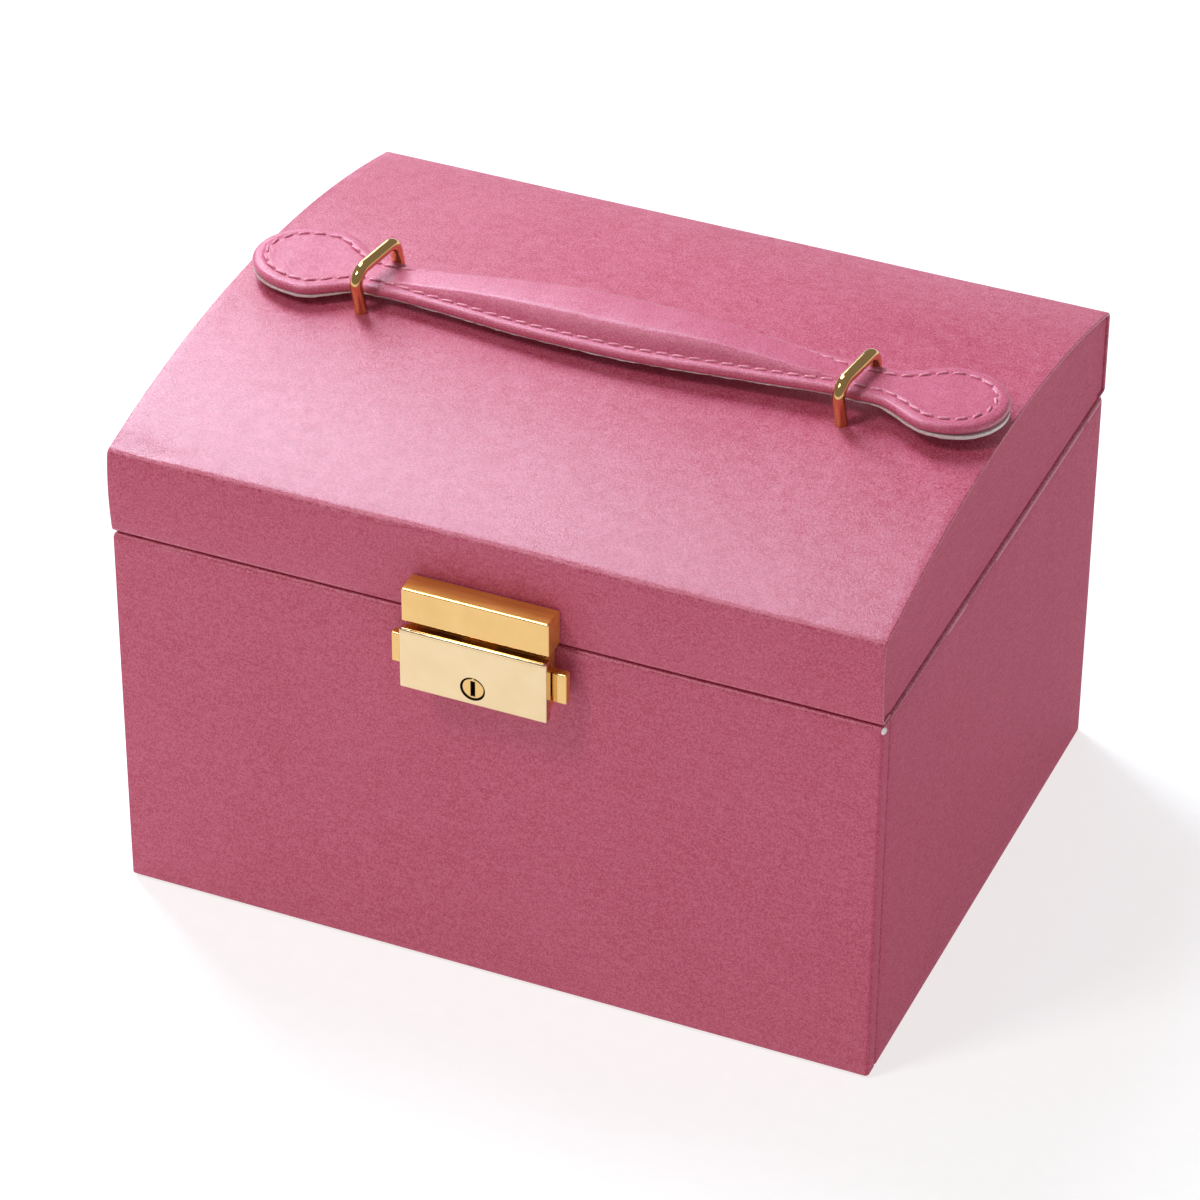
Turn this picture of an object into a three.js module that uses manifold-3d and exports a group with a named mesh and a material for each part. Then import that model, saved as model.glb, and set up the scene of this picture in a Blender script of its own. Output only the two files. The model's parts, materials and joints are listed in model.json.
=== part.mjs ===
// Makeup train case: a wrapped-board case with an arched lid, a strap handle that
// slides through two metal loops, a hasp lock, two back hinges and a lift-out tray.
//
// Millimetres. +X right, +Y to the back, +Z up. The origin is the centre of the underside.

import * as THREE from 'three';
import { mergeVertices } from 'three/addons/utils/BufferGeometryUtils.js';
import Module from 'manifold-3d';

const wasm = await Module();
wasm.setup();

// Driving dimensions: case and lid

const WIDTH = 175;
const DEPTH = 138;
const FOLD_Z = 112.5;
const CROWN_Z = 121.5;
const CASE_TOP_Z = 91.5;
const LID_BOTTOM_Z = 92;
const GAP = 0.3;
const COVER = 0.8;
const BOARD = 3;
const LINING = 1.2;
const GUSSET_INSET = 0.5;
const GUSSET_COVER = 0.6;
const FLOOR_PAD = 2.2;
const LEDGE_Z = 58;
const LEDGE_WIDTH = 3;
const CORNER_RADIUS = 2.5;
const CORNER_STEPS = 4;

// Driving dimensions: lid fittings

const MIRROR_WIDTH = 120;
const MIRROR_DEPTH = 90;
const MIRROR_THICKNESS = 2.4;
const MIRROR_RIM = 3;
const LINER_Z = 104;

// Driving dimensions: handle

const HANDLE_Y = -0.8;
const LOOP_Y = -1.2;
const LOOP_X = 55.5;
const LOOP_TOP_Z = 133;
const LOOP_LENGTH = 18.4;
const LOOP_LEAN = 1.6;
const WIRE_RADIUS = 1.4;
const LOOP_BEND = 3.4;
const LOOP_FOOT_Z = 114.6;
const LOOP_PLATE_X = 4.5;
const LOOP_PLATE_THICKNESS = 1.2;
const STRAP_BOTTOM_Z = 122;
const STRAP_THICKNESS = 4;
const STRAP_CROWN = 7;
const NECK_HALF_WIDTH = 5;
const BELLY_HALF_WIDTH = 10;
const PADDLE_HALF_WIDTH = 12;
const STRAP_END_X = 87;
const LEFT_FLARE_X = 58;
const LEFT_FULL_X = 72;
const RIGHT_FLARE_X = 60.5;
const RIGHT_FULL_X = 75;
const PADDLE_ROUND = 0.6;
const PIVOT_X = 50;

// Driving dimensions: lock

const LOCK_HALF_WIDTH = 16.7;
const LOCK_BOTTOM_Z = 77;
const LOCK_TOP_Z = 92;
const LOCK_PLATE_FRONT_Y = -76.2;
const LOCK_PLATE_THICKNESS = 2;
const LOCK_CASE_INSET = 1.2;
const LOCK_EDGE = 0.5;
const SLIDE_GAP = 0.4;
const HASP_BOTTOM_Z = 92.8;
const HASP_TOP_Z = 101;
const HASP_DEPTH = 6;
const TONGUE_HALF_WIDTH = 4;
const BUTTON_TIP_X = 19.9;
const BUTTON_ROOT_X = 11;
const BUTTON_BOTTOM_Z = 80.7;
const BUTTON_TOP_Z = 88.1;
const BUTTON_FRONT_Y = -73.6;
const BUTTON_BACK_Y = -71.5;
const SPRING_ROOT_X = 5.4;
const SPRING_TURNS = 5;
const SPRING_RADIUS = 1;
const SPRING_WIRE_RADIUS = 0.25;
const TONGUE_FRONT_Y = -72.9;
const TONGUE_BACK_Y = -71;
const TONGUE_BOTTOM_Z = 85.2;
const BEAD_RADIUS = 0.9;
const KEY_RADIUS = 2.5;
const KEY_Z = 81;
const KEY_SLOT_HALF_LENGTH = 1.8;
const KEY_SLOT_HALF_WIDTH = 0.4;
const KEY_SLOT_DEPTH = 1;

// Driving dimensions: back hinges

const HINGE_X = 50;
const HINGE_AXIS_Y = 71.2;
const HINGE_AXIS_Z = 91.8;
const KNUCKLE_RADIUS = 2;
const PIN_RADIUS = 0.9;
const LEAF_THICKNESS = 1;
const LEAF_HALF_WIDTH = 12;
const LEAF_HEIGHT = 16;
const MIDDLE_KNUCKLE_HALF_WIDTH = 4.5;
const RIVET_X = 8;
const RIVET_OFFSET_Z = 10;
const RIVET_SHANK_RADIUS = 1;
const RIVET_HOLE_RADIUS = 1.3;
const RIVET_HEAD_RADIUS = 2.2;
const RIVET_HEAD_HEIGHT = 1.1;
const STOP_FIN_LENGTH = 5;
const STOP_FIN_HALF_WIDTH = 3;
const STOP_FIN_THICKNESS = 1.2;
const PIN_CLEARANCE = 0.15;
const KNUCKLE_RELIEF = 0.6;
const PIN_OVERHANG = 0.5;
const LID_OPENING = 98;

// Driving dimensions: tray

const TRAY_CLEARANCE = 0.7;
const TRAY_WALL = 2;
const TRAY_TOP_Z = 88;
const DIVIDER_Y = 8;
const DIVIDER_X = 20;
const DIVIDER_TOP_Z = 84;
const RING_ROLLS = 4;
const RING_ROLL_TOP_Z = 78;
const PULL_WIDTH = 14;
const PULL_THICKNESS = 0.8;
const PULL_TUCK = 14;
const PULL_RISE = 8;

// Worked out from the driving dimensions

const HALF_WIDTH = WIDTH / 2;
const HALF_DEPTH = DEPTH / 2;
const ARCH_RISE = CROWN_Z - FOLD_Z;
const ARCH_RADIUS = (HALF_DEPTH ** 2 + ARCH_RISE ** 2) / (2 * ARCH_RISE);
const ARCH_CENTRE_Z = CROWN_Z - ARCH_RADIUS;
const BOARD_OUT_X = HALF_WIDTH - COVER - GAP;
const BOARD_IN_X = BOARD_OUT_X - BOARD;
const BOARD_OUT_Y = HALF_DEPTH - COVER - GAP;
const BOARD_IN_Y = BOARD_OUT_Y - BOARD;
const LINING_OUT_X = BOARD_IN_X - GAP;
const LINING_IN_X = LINING_OUT_X - LINING;
const LINING_OUT_Y = BOARD_IN_Y - GAP;
const LINING_IN_Y = LINING_OUT_Y - LINING;
const LEDGE_IN_X = LINING_IN_X - LEDGE_WIDTH;
const BASE_BOARD_Z = COVER + GAP;
const INSIDE_Z = BASE_BOARD_Z + BOARD + GAP;
const BOARD_TOP_Z = CASE_TOP_Z - COVER - GAP;
const SKIN_BOTTOM_Z = 0.4;
const GUSSET_COVER_X = HALF_WIDTH - GUSSET_INSET;
const GUSSET_OUT_X = GUSSET_COVER_X - GUSSET_COVER - GAP;
const GUSSET_IN_X = GUSSET_OUT_X - BOARD;
const LID_BOARD_Z = LID_BOTTOM_Z + COVER;
const ARCH_BOARD_RADIUS = ARCH_RADIUS - COVER - GAP;
const HASP_BACK_Y = -HALF_DEPTH - GAP;
const LOCK_PLATE_BACK_Y = LOCK_PLATE_FRONT_Y + LOCK_PLATE_THICKNESS;
const LEAF_IN_Y = HINGE_AXIS_Y - KNUCKLE_RADIUS;
const WALL_FRONT_Y = -BOARD_IN_Y + GAP;
const LID_BOARD_X = GUSSET_IN_X - GAP;
const LOOP_LEG_Y = LOOP_LENGTH / 2 - WIRE_RADIUS;
const LOOP_HOLE_RADIUS = WIRE_RADIUS + GAP;
const LOOP_PLATE_Y = LOOP_LENGTH / 2 + 2.5;

// Materials

const leatherette = new THREE.MeshStandardMaterial({ color: 0xb9607c, roughness: 0.42, metalness: 0 });
const board = new THREE.MeshStandardMaterial({ color: 0xb59a78, roughness: 0.9, metalness: 0 });
const velvet = new THREE.MeshStandardMaterial({ color: 0xd9c9b8, roughness: 0.95, metalness: 0 });
const gold = new THREE.MeshStandardMaterial({ color: 0xe8c583, roughness: 0.16, metalness: 1 });
const steel = new THREE.MeshStandardMaterial({ color: 0xb8bbc0, roughness: 0.3, metalness: 1 });
const silvering = new THREE.MeshStandardMaterial({ color: 0xe8eef2, roughness: 0.02, metalness: 1 });

// Shape helpers

const YZ_TO_WORLD = new THREE.Matrix4().makeBasis(
  new THREE.Vector3(0, 1, 0), new THREE.Vector3(0, 0, 1), new THREE.Vector3(1, 0, 0));
const XZ_TO_WORLD = new THREE.Matrix4().makeBasis(
  new THREE.Vector3(1, 0, 0), new THREE.Vector3(0, 0, 1), new THREE.Vector3(0, -1, 0));

function box(x0, x1, y0, y1, z0, z1) {
  const geometry = new THREE.BoxGeometry(x1 - x0, y1 - y0, z1 - z0);
  return geometry.translate((x0 + x1) / 2, (y0 + y1) / 2, (z0 + z1) / 2);
}

function polygon(points) {
  return new THREE.Shape(points.map(([u, v]) => new THREE.Vector2(u, v)));
}

function prismAlongX(points, x0, x1) {
  const geometry = new THREE.ExtrudeGeometry(polygon(points), { depth: x1 - x0, bevelEnabled: false });
  return geometry.applyMatrix4(YZ_TO_WORLD).translate(x0, 0, 0);
}

function prismAlongY(points, y0, y1) {
  const geometry = new THREE.ExtrudeGeometry(polygon(points), { depth: y1 - y0, bevelEnabled: false });
  return geometry.applyMatrix4(XZ_TO_WORLD).translate(0, y1, 0);
}

function prismAlongZ(points, z0, z1) {
  const geometry = new THREE.ExtrudeGeometry(polygon(points), { depth: z1 - z0, bevelEnabled: false });
  return geometry.translate(0, 0, z0);
}

function rodAlongX(radius, x0, x1, y, z, sides = 24) {
  const geometry = new THREE.CylinderGeometry(radius, radius, x1 - x0, sides);
  return geometry.rotateZ(Math.PI / 2).translate((x0 + x1) / 2, y, z);
}

function rodAlongY(radius, y0, y1, x, z, sides = 24) {
  const geometry = new THREE.CylinderGeometry(radius, radius, y1 - y0, sides);
  return geometry.translate(x, (y0 + y1) / 2, z);
}

function rodAlongZ(radius, z0, z1, x, y, sides = 24) {
  const geometry = new THREE.CylinderGeometry(radius, radius, z1 - z0, sides);
  return geometry.rotateX(Math.PI / 2).translate(x, y, (z0 + z1) / 2);
}

// A rectangular plate facing -Y whose front edges are rounded over by `edge`.
function bevelledPlate(x0, x1, y0, y1, z0, z1, edge) {
  const outline = [
    [x0 + edge, z0 + edge], [x1 - edge, z0 + edge], [x1 - edge, z1 - edge], [x0 + edge, z1 - edge],
  ];
  const geometry = new THREE.ExtrudeGeometry(polygon(outline), {
    depth: y1 - y0 - 2 * edge, bevelSize: edge, bevelThickness: edge, bevelSegments: 3,
  });
  return geometry.applyMatrix4(XZ_TO_WORLD).translate(0, y1 - edge, 0);
}

function solid(geometry) {
  const bare = geometry.clone();
  bare.deleteAttribute('normal');
  bare.deleteAttribute('uv');
  const merged = mergeVertices(bare, 1e-4);
  return new wasm.Manifold(new wasm.Mesh({
    numProp: 3,
    vertProperties: new Float32Array(merged.attributes.position.array),
    triVerts: new Uint32Array(merged.index.array),
  }));
}

function geometryOf(manifold) {
  const mesh = manifold.getMesh();
  const geometry = new THREE.BufferGeometry();
  geometry.setAttribute('position', new THREE.BufferAttribute(mesh.vertProperties, 3));
  geometry.setIndex(new THREE.BufferAttribute(mesh.triVerts, 1));
  geometry.computeVertexNormals();
  return geometry;
}

function cut(base, ...tools) {
  return geometryOf(tools.reduce((left, tool) => left.subtract(solid(tool)), solid(base)));
}

function join(base, ...others) {
  return geometryOf(others.reduce((sum, other) => sum.add(solid(other)), solid(base)));
}

function common(first, second) {
  return geometryOf(solid(first).intersect(solid(second)));
}

function part(group, name, geometry, material) {
  const mesh = new THREE.Mesh(geometry, material);
  mesh.name = name;
  group.add(mesh);
}

// The two sides of a symmetric fitting: [name prefix, sign of X].
const SIDES = [['left', -1], ['right', 1]];

function span(sign, near, far) {
  return sign > 0 ? [near, far] : [-far, -near];
}

// Points of the lid's arch at one radius, from -halfDepth to +halfDepth.
function archPoints(radius, halfDepth, steps = 20) {
  const points = [];
  for (let i = 0; i <= steps; i += 1) {
    const y = -halfDepth + (2 * halfDepth * i) / steps;
    points.push([y, ARCH_CENTRE_Z + Math.sqrt(radius ** 2 - y ** 2)]);
  }
  return points;
}

// Places of the eight hinge rivets, shared by the leaves and by the holes they pass through.
function hingeRivetPlaces() {
  const places = [];
  for (const [side, sign] of SIDES) {
    for (const [leaf, up] of [['case', -1], ['lid', 1]]) {
      for (const [end, out] of [['inner', -1], ['outer', 1]]) {
        places.push({
          name: `${side}_hinge_${leaf}_${end}_rivet`,
          x: sign * (HINGE_X + out * RIVET_X),
          z: HINGE_AXIS_Z + up * RIVET_OFFSET_Z,
        });
      }
    }
  }
  return places;
}

function rivetHoles(y0, y1) {
  return hingeRivetPlaces().map(({ x, z }) => rodAlongY(RIVET_HOLE_RADIUS, y0, y1, x, z, 12));
}

function loopLegHoles(z0, z1) {
  const holes = [];
  for (const [, sign] of SIDES) {
    for (const end of [-1, 1]) {
      holes.push(rodAlongZ(LOOP_HOLE_RADIUS, z0, z1, sign * LOOP_X, LOOP_Y + end * LOOP_LEG_Y, 16));
    }
  }
  return holes;
}

// Lower case: a front panel wrapped on its own, and three walls under one cover

function caseShell() {
  const group = new THREE.Group();
  const front = box(-HALF_WIDTH, HALF_WIDTH, -HALF_DEPTH, -BOARD_IN_Y, SKIN_BOTTOM_Z, CASE_TOP_Z);
  const frontHollow = box(
    -HALF_WIDTH + COVER, HALF_WIDTH - COVER, -HALF_DEPTH + COVER, 0,
    SKIN_BOTTOM_Z + COVER, CASE_TOP_Z - COVER);
  part(group, 'front_cover', cut(front, frontHollow), leatherette);
  part(group, 'front_board', box(
    -BOARD_OUT_X, BOARD_OUT_X, -BOARD_OUT_Y, -BOARD_IN_Y,
    SKIN_BOTTOM_Z + COVER + GAP, BOARD_TOP_Z), board);

  const inX = HALF_WIDTH - COVER;
  const inY = HALF_DEPTH - COVER;
  const wrap = [[inX, WALL_FRONT_Y], [HALF_WIDTH, WALL_FRONT_Y]];
  for (let i = 0; i <= CORNER_STEPS; i += 1) {
    const turn = (Math.PI / 2) * (i / CORNER_STEPS);
    const x = HALF_WIDTH - CORNER_RADIUS * (1 - Math.cos(turn));
    const y = HALF_DEPTH - CORNER_RADIUS * (1 - Math.sin(turn));
    wrap.push([x, y]);
  }
  const mirrored = wrap.map(([x, y]) => [-x, y]).reverse();
  const outline = [[inX, inY], ...wrap, ...mirrored, [-inX, inY]];
  part(group, 'body_cover', cut(
    prismAlongZ(outline, SKIN_BOTTOM_Z, CASE_TOP_Z),
    ...rivetHoles(inY - 1, HALF_DEPTH + 1)), leatherette);

  part(group, 'back_board', cut(
    box(-BOARD_OUT_X, BOARD_OUT_X, BOARD_IN_Y, BOARD_OUT_Y, INSIDE_Z, BOARD_TOP_Z),
    ...rivetHoles(BOARD_IN_Y - 1, BOARD_OUT_Y + 1)), board);
  for (const [side, sign] of SIDES) {
    const [x0, x1] = span(sign, BOARD_IN_X, BOARD_OUT_X);
    part(group, `${side}_board`, box(x0, x1, WALL_FRONT_Y, LINING_OUT_Y, INSIDE_Z, BOARD_TOP_Z), board);
  }
  part(group, 'base_board', box(
    -BOARD_OUT_X, BOARD_OUT_X, WALL_FRONT_Y, BOARD_OUT_Y, BASE_BOARD_Z, BASE_BOARD_Z + BOARD), board);
  part(group, 'base_cover', box(
    -BOARD_OUT_X, BOARD_OUT_X, WALL_FRONT_Y, BOARD_OUT_Y, 0, COVER), leatherette);
  return group;
}

// Wall linings and floor pad. The side linings are thicker below, which leaves the tray's ledge.
function caseLining() {
  const group = new THREE.Group();
  for (const [end, sign] of [['front', -1], ['back', 1]]) {
    const [y0, y1] = span(sign, LINING_IN_Y, LINING_OUT_Y);
    part(group, `${end}_lining`, box(
      -LINING_OUT_X, LINING_OUT_X, y0, y1, INSIDE_Z, BOARD_TOP_Z), velvet);
  }
  const endY = LINING_IN_Y - GAP;
  for (const [side, sign] of SIDES) {
    const section = [
      [sign * LINING_OUT_X, INSIDE_Z], [sign * LINING_OUT_X, BOARD_TOP_Z],
      [sign * LINING_IN_X, BOARD_TOP_Z], [sign * LINING_IN_X, LEDGE_Z],
      [sign * LEDGE_IN_X, LEDGE_Z], [sign * LEDGE_IN_X, INSIDE_Z],
    ];
    part(group, `${side}_lining`, prismAlongY(section, -endY, endY), velvet);
  }
  part(group, 'floor_pad', box(
    -LEDGE_IN_X + GAP, LEDGE_IN_X - GAP, -endY, endY, INSIDE_Z, INSIDE_Z + FLOOR_PAD), velvet);
  return group;
}

// Lid: an arched top with its front and back strips under one cover, and two end boards

function lidShell() {
  const group = new THREE.Group();
  const wrap = [
    [-HALF_DEPTH, LID_BOTTOM_Z], ...archPoints(ARCH_RADIUS, HALF_DEPTH), [HALF_DEPTH, LID_BOTTOM_Z],
    [HALF_DEPTH - COVER, LID_BOTTOM_Z],
    ...archPoints(ARCH_RADIUS - COVER, HALF_DEPTH - COVER).reverse(),
    [-HALF_DEPTH + COVER, LID_BOTTOM_Z],
  ];
  part(group, 'lid_cover', cut(
    prismAlongX(wrap, -HALF_WIDTH, HALF_WIDTH), ...loopLegHoles(LOOP_FOOT_Z, CROWN_Z + 1),
    ...rivetHoles(HALF_DEPTH - 2, HALF_DEPTH + 1)), leatherette);

  const archBoard = [
    ...archPoints(ARCH_BOARD_RADIUS, BOARD_OUT_Y),
    ...archPoints(ARCH_BOARD_RADIUS - BOARD, BOARD_OUT_Y).reverse(),
  ];
  part(group, 'lid_arch_board', cut(
    prismAlongX(archBoard, -LID_BOARD_X, LID_BOARD_X), ...loopLegHoles(LOOP_FOOT_Z, CROWN_Z + 1)), board);
  const stripTop = archPoints(ARCH_BOARD_RADIUS - BOARD - GAP, BOARD_OUT_Y)[0][1];
  part(group, 'lid_front_board', box(
    -LID_BOARD_X, LID_BOARD_X, -BOARD_OUT_Y, -BOARD_IN_Y, LID_BOARD_Z, stripTop), board);
  part(group, 'lid_back_board', cut(
    box(-LID_BOARD_X, LID_BOARD_X, BOARD_IN_Y, BOARD_OUT_Y, LID_BOARD_Z, stripTop),
    ...rivetHoles(BOARD_IN_Y - 1, BOARD_OUT_Y + 1)), board);

  const endOutline = (bottom) => [
    [-BOARD_OUT_Y, bottom], ...archPoints(ARCH_BOARD_RADIUS, BOARD_OUT_Y), [BOARD_OUT_Y, bottom],
  ];
  for (const [side, sign] of SIDES) {
    const boardSpan = span(sign, GUSSET_IN_X, GUSSET_OUT_X);
    const coverSpan = span(sign, GUSSET_COVER_X - GUSSET_COVER, GUSSET_COVER_X);
    part(group, `${side}_gusset_board`, prismAlongX(endOutline(LID_BOARD_Z), ...boardSpan), board);
    part(group, `${side}_gusset_cover`, prismAlongX(endOutline(LID_BOTTOM_Z), ...coverSpan), leatherette);
  }
  return group;
}

// Lining tray under the arch, with the framed mirror on its flat panel
function lidInside() {
  const group = new THREE.Group();
  const outX = LID_BOARD_X;
  const outY = LINING_OUT_Y;
  const bottom = LID_BOTTOM_Z + GAP;
  part(group, 'lid_liner', cut(
    box(-outX, outX, -outY, outY, bottom, LINER_Z + LINING),
    box(-outX + LINING, outX - LINING, -outY + LINING, outY - LINING, bottom - 1, LINER_Z)), velvet);

  const mirrorTop = LINER_Z - GAP;
  const mirrorBottom = mirrorTop - MIRROR_THICKNESS;
  const halfX = MIRROR_WIDTH / 2;
  const halfY = MIRROR_DEPTH / 2;
  part(group, 'mirror', box(-halfX, halfX, -halfY, halfY, mirrorBottom, mirrorTop), silvering);
  const holeX = halfX + GAP;
  const holeY = halfY + GAP;
  part(group, 'mirror_frame', cut(
    box(-holeX - MIRROR_RIM, holeX + MIRROR_RIM, -holeY - MIRROR_RIM, holeY + MIRROR_RIM,
      mirrorBottom - GAP, mirrorTop),
    box(-holeX, holeX, -holeY, holeY, mirrorBottom - 1, mirrorTop + 1)), gold);
  return group;
}

// Handle: two wire loops through the lid, and a strap in four lengths that run through them

// A wire loop: two legs joined over the strap by a bridge with round corners. Above the lid
// the legs lean forward a little.
function loopGeometry(x) {
  const topZ = LOOP_TOP_Z - WIRE_RADIUS;
  const at = (y, z) => new THREE.Vector3(x, LOOP_Y + y, z);
  const frontTop = -LOOP_LEG_Y - LOOP_LEAN;
  const backTop = LOOP_LEG_Y - LOOP_LEAN;
  const path = new THREE.CurvePath();
  path.add(new THREE.LineCurve3(at(-LOOP_LEG_Y, LOOP_FOOT_Z), at(-LOOP_LEG_Y, CROWN_Z)));
  path.add(new THREE.LineCurve3(at(-LOOP_LEG_Y, CROWN_Z), at(frontTop, topZ - LOOP_BEND)));
  path.add(new THREE.QuadraticBezierCurve3(
    at(frontTop, topZ - LOOP_BEND), at(frontTop, topZ), at(frontTop + LOOP_BEND, topZ)));
  path.add(new THREE.LineCurve3(at(frontTop + LOOP_BEND, topZ), at(backTop - LOOP_BEND, topZ)));
  path.add(new THREE.QuadraticBezierCurve3(
    at(backTop - LOOP_BEND, topZ), at(backTop, topZ), at(backTop, topZ - LOOP_BEND)));
  path.add(new THREE.LineCurve3(at(backTop, topZ - LOOP_BEND), at(LOOP_LEG_Y, CROWN_Z)));
  path.add(new THREE.LineCurve3(at(LOOP_LEG_Y, CROWN_Z), at(LOOP_LEG_Y, LOOP_FOOT_Z)));
  const section = new THREE.Shape().absarc(0, 0, WIRE_RADIUS, 0, 2 * Math.PI, false);
  return new THREE.ExtrudeGeometry(section, { extrudePath: path, steps: 44, curveSegments: 5 });
}

function loops() {
  const group = new THREE.Group();
  for (const [side, sign] of SIDES) {
    const x = sign * LOOP_X;
    part(group, `${side}_loop`, loopGeometry(x), gold);
    const plateTop = ARCH_CENTRE_Z + ARCH_BOARD_RADIUS - BOARD - 2 * GAP;
    const plate = box(
      x - LOOP_PLATE_X, x + LOOP_PLATE_X, LOOP_Y - LOOP_PLATE_Y, LOOP_Y + LOOP_PLATE_Y,
      plateTop - LOOP_PLATE_THICKNESS, plateTop);
    part(group, `${side}_loop_plate`, cut(plate, ...loopLegHoles(LOOP_FOOT_Z - 1, CROWN_Z)), steel);
  }
  return group;
}

// One end of the strap: a narrow neck that flares to a paddle with a round end
function paddle(sign, neckX, flareX, fullX) {
  const shape = new THREE.Shape();
  const place = (x, y) => [sign * x, HANDLE_Y + y];
  shape.moveTo(...place(neckX, -NECK_HALF_WIDTH));
  shape.lineTo(...place(flareX, -NECK_HALF_WIDTH));
  const middle = (flareX + fullX) / 2;
  const round = PADDLE_ROUND * PADDLE_HALF_WIDTH;
  shape.bezierCurveTo(...place(middle, -NECK_HALF_WIDTH), ...place(middle, -PADDLE_HALF_WIDTH),
    ...place(fullX, -PADDLE_HALF_WIDTH));
  shape.bezierCurveTo(...place(STRAP_END_X, -PADDLE_HALF_WIDTH), ...place(STRAP_END_X, -round),
    ...place(STRAP_END_X, 0));
  shape.bezierCurveTo(...place(STRAP_END_X, round), ...place(STRAP_END_X, PADDLE_HALF_WIDTH),
    ...place(fullX, PADDLE_HALF_WIDTH));
  shape.bezierCurveTo(...place(middle, PADDLE_HALF_WIDTH), ...place(middle, NECK_HALF_WIDTH),
    ...place(flareX, NECK_HALF_WIDTH));
  shape.lineTo(...place(neckX, NECK_HALF_WIDTH));
  const geometry = new THREE.ExtrudeGeometry(shape, {
    depth: STRAP_THICKNESS, bevelEnabled: false, curveSegments: 6,
  });
  return geometry.translate(0, 0, STRAP_BOTTOM_Z);
}

// Half of the grip between the loops: it widens and thickens from the neck to mid-span
function gripHalf(sign) {
  const end = PIVOT_X - GAP;
  const mid = GAP / 2;
  const top = STRAP_BOTTOM_Z + STRAP_THICKNESS;
  const plan = [
    [sign * end, HANDLE_Y - NECK_HALF_WIDTH], [sign * mid, HANDLE_Y - BELLY_HALF_WIDTH],
    [sign * mid, HANDLE_Y + BELLY_HALF_WIDTH], [sign * end, HANDLE_Y + NECK_HALF_WIDTH],
  ];
  const side = [
    [sign * end, STRAP_BOTTOM_Z], [sign * mid, STRAP_BOTTOM_Z],
    [sign * mid, STRAP_BOTTOM_Z + STRAP_CROWN], [sign * end, top],
  ];
  return common(
    prismAlongZ(plan, STRAP_BOTTOM_Z, STRAP_BOTTOM_Z + STRAP_CROWN),
    prismAlongY(side, HANDLE_Y - BELLY_HALF_WIDTH - 1, HANDLE_Y + BELLY_HALF_WIDTH + 1));
}

function strap() {
  const group = new THREE.Group();
  part(group, 'strap_left_end', paddle(-1, PIVOT_X, LEFT_FLARE_X, LEFT_FULL_X), leatherette);
  part(group, 'strap_left_half', gripHalf(-1), leatherette);
  part(group, 'strap_right_half', gripHalf(1), leatherette);
  part(group, 'strap_right_end', paddle(1, PIVOT_X, RIGHT_FLARE_X, RIGHT_FULL_X), leatherette);
  return group;
}

// Lock: a hasp on the lid, and a body on the case with two side buttons and a key cylinder

function helix(x0, x1, y, z, radius, turns) {
  class Helix extends THREE.Curve {
    getPoint(t, target = new THREE.Vector3()) {
      const angle = 2 * Math.PI * turns * t;
      return target.set(x0 + (x1 - x0) * t, y + radius * Math.cos(angle), z + radius * Math.sin(angle));
    }
  }
  return new Helix();
}

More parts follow.
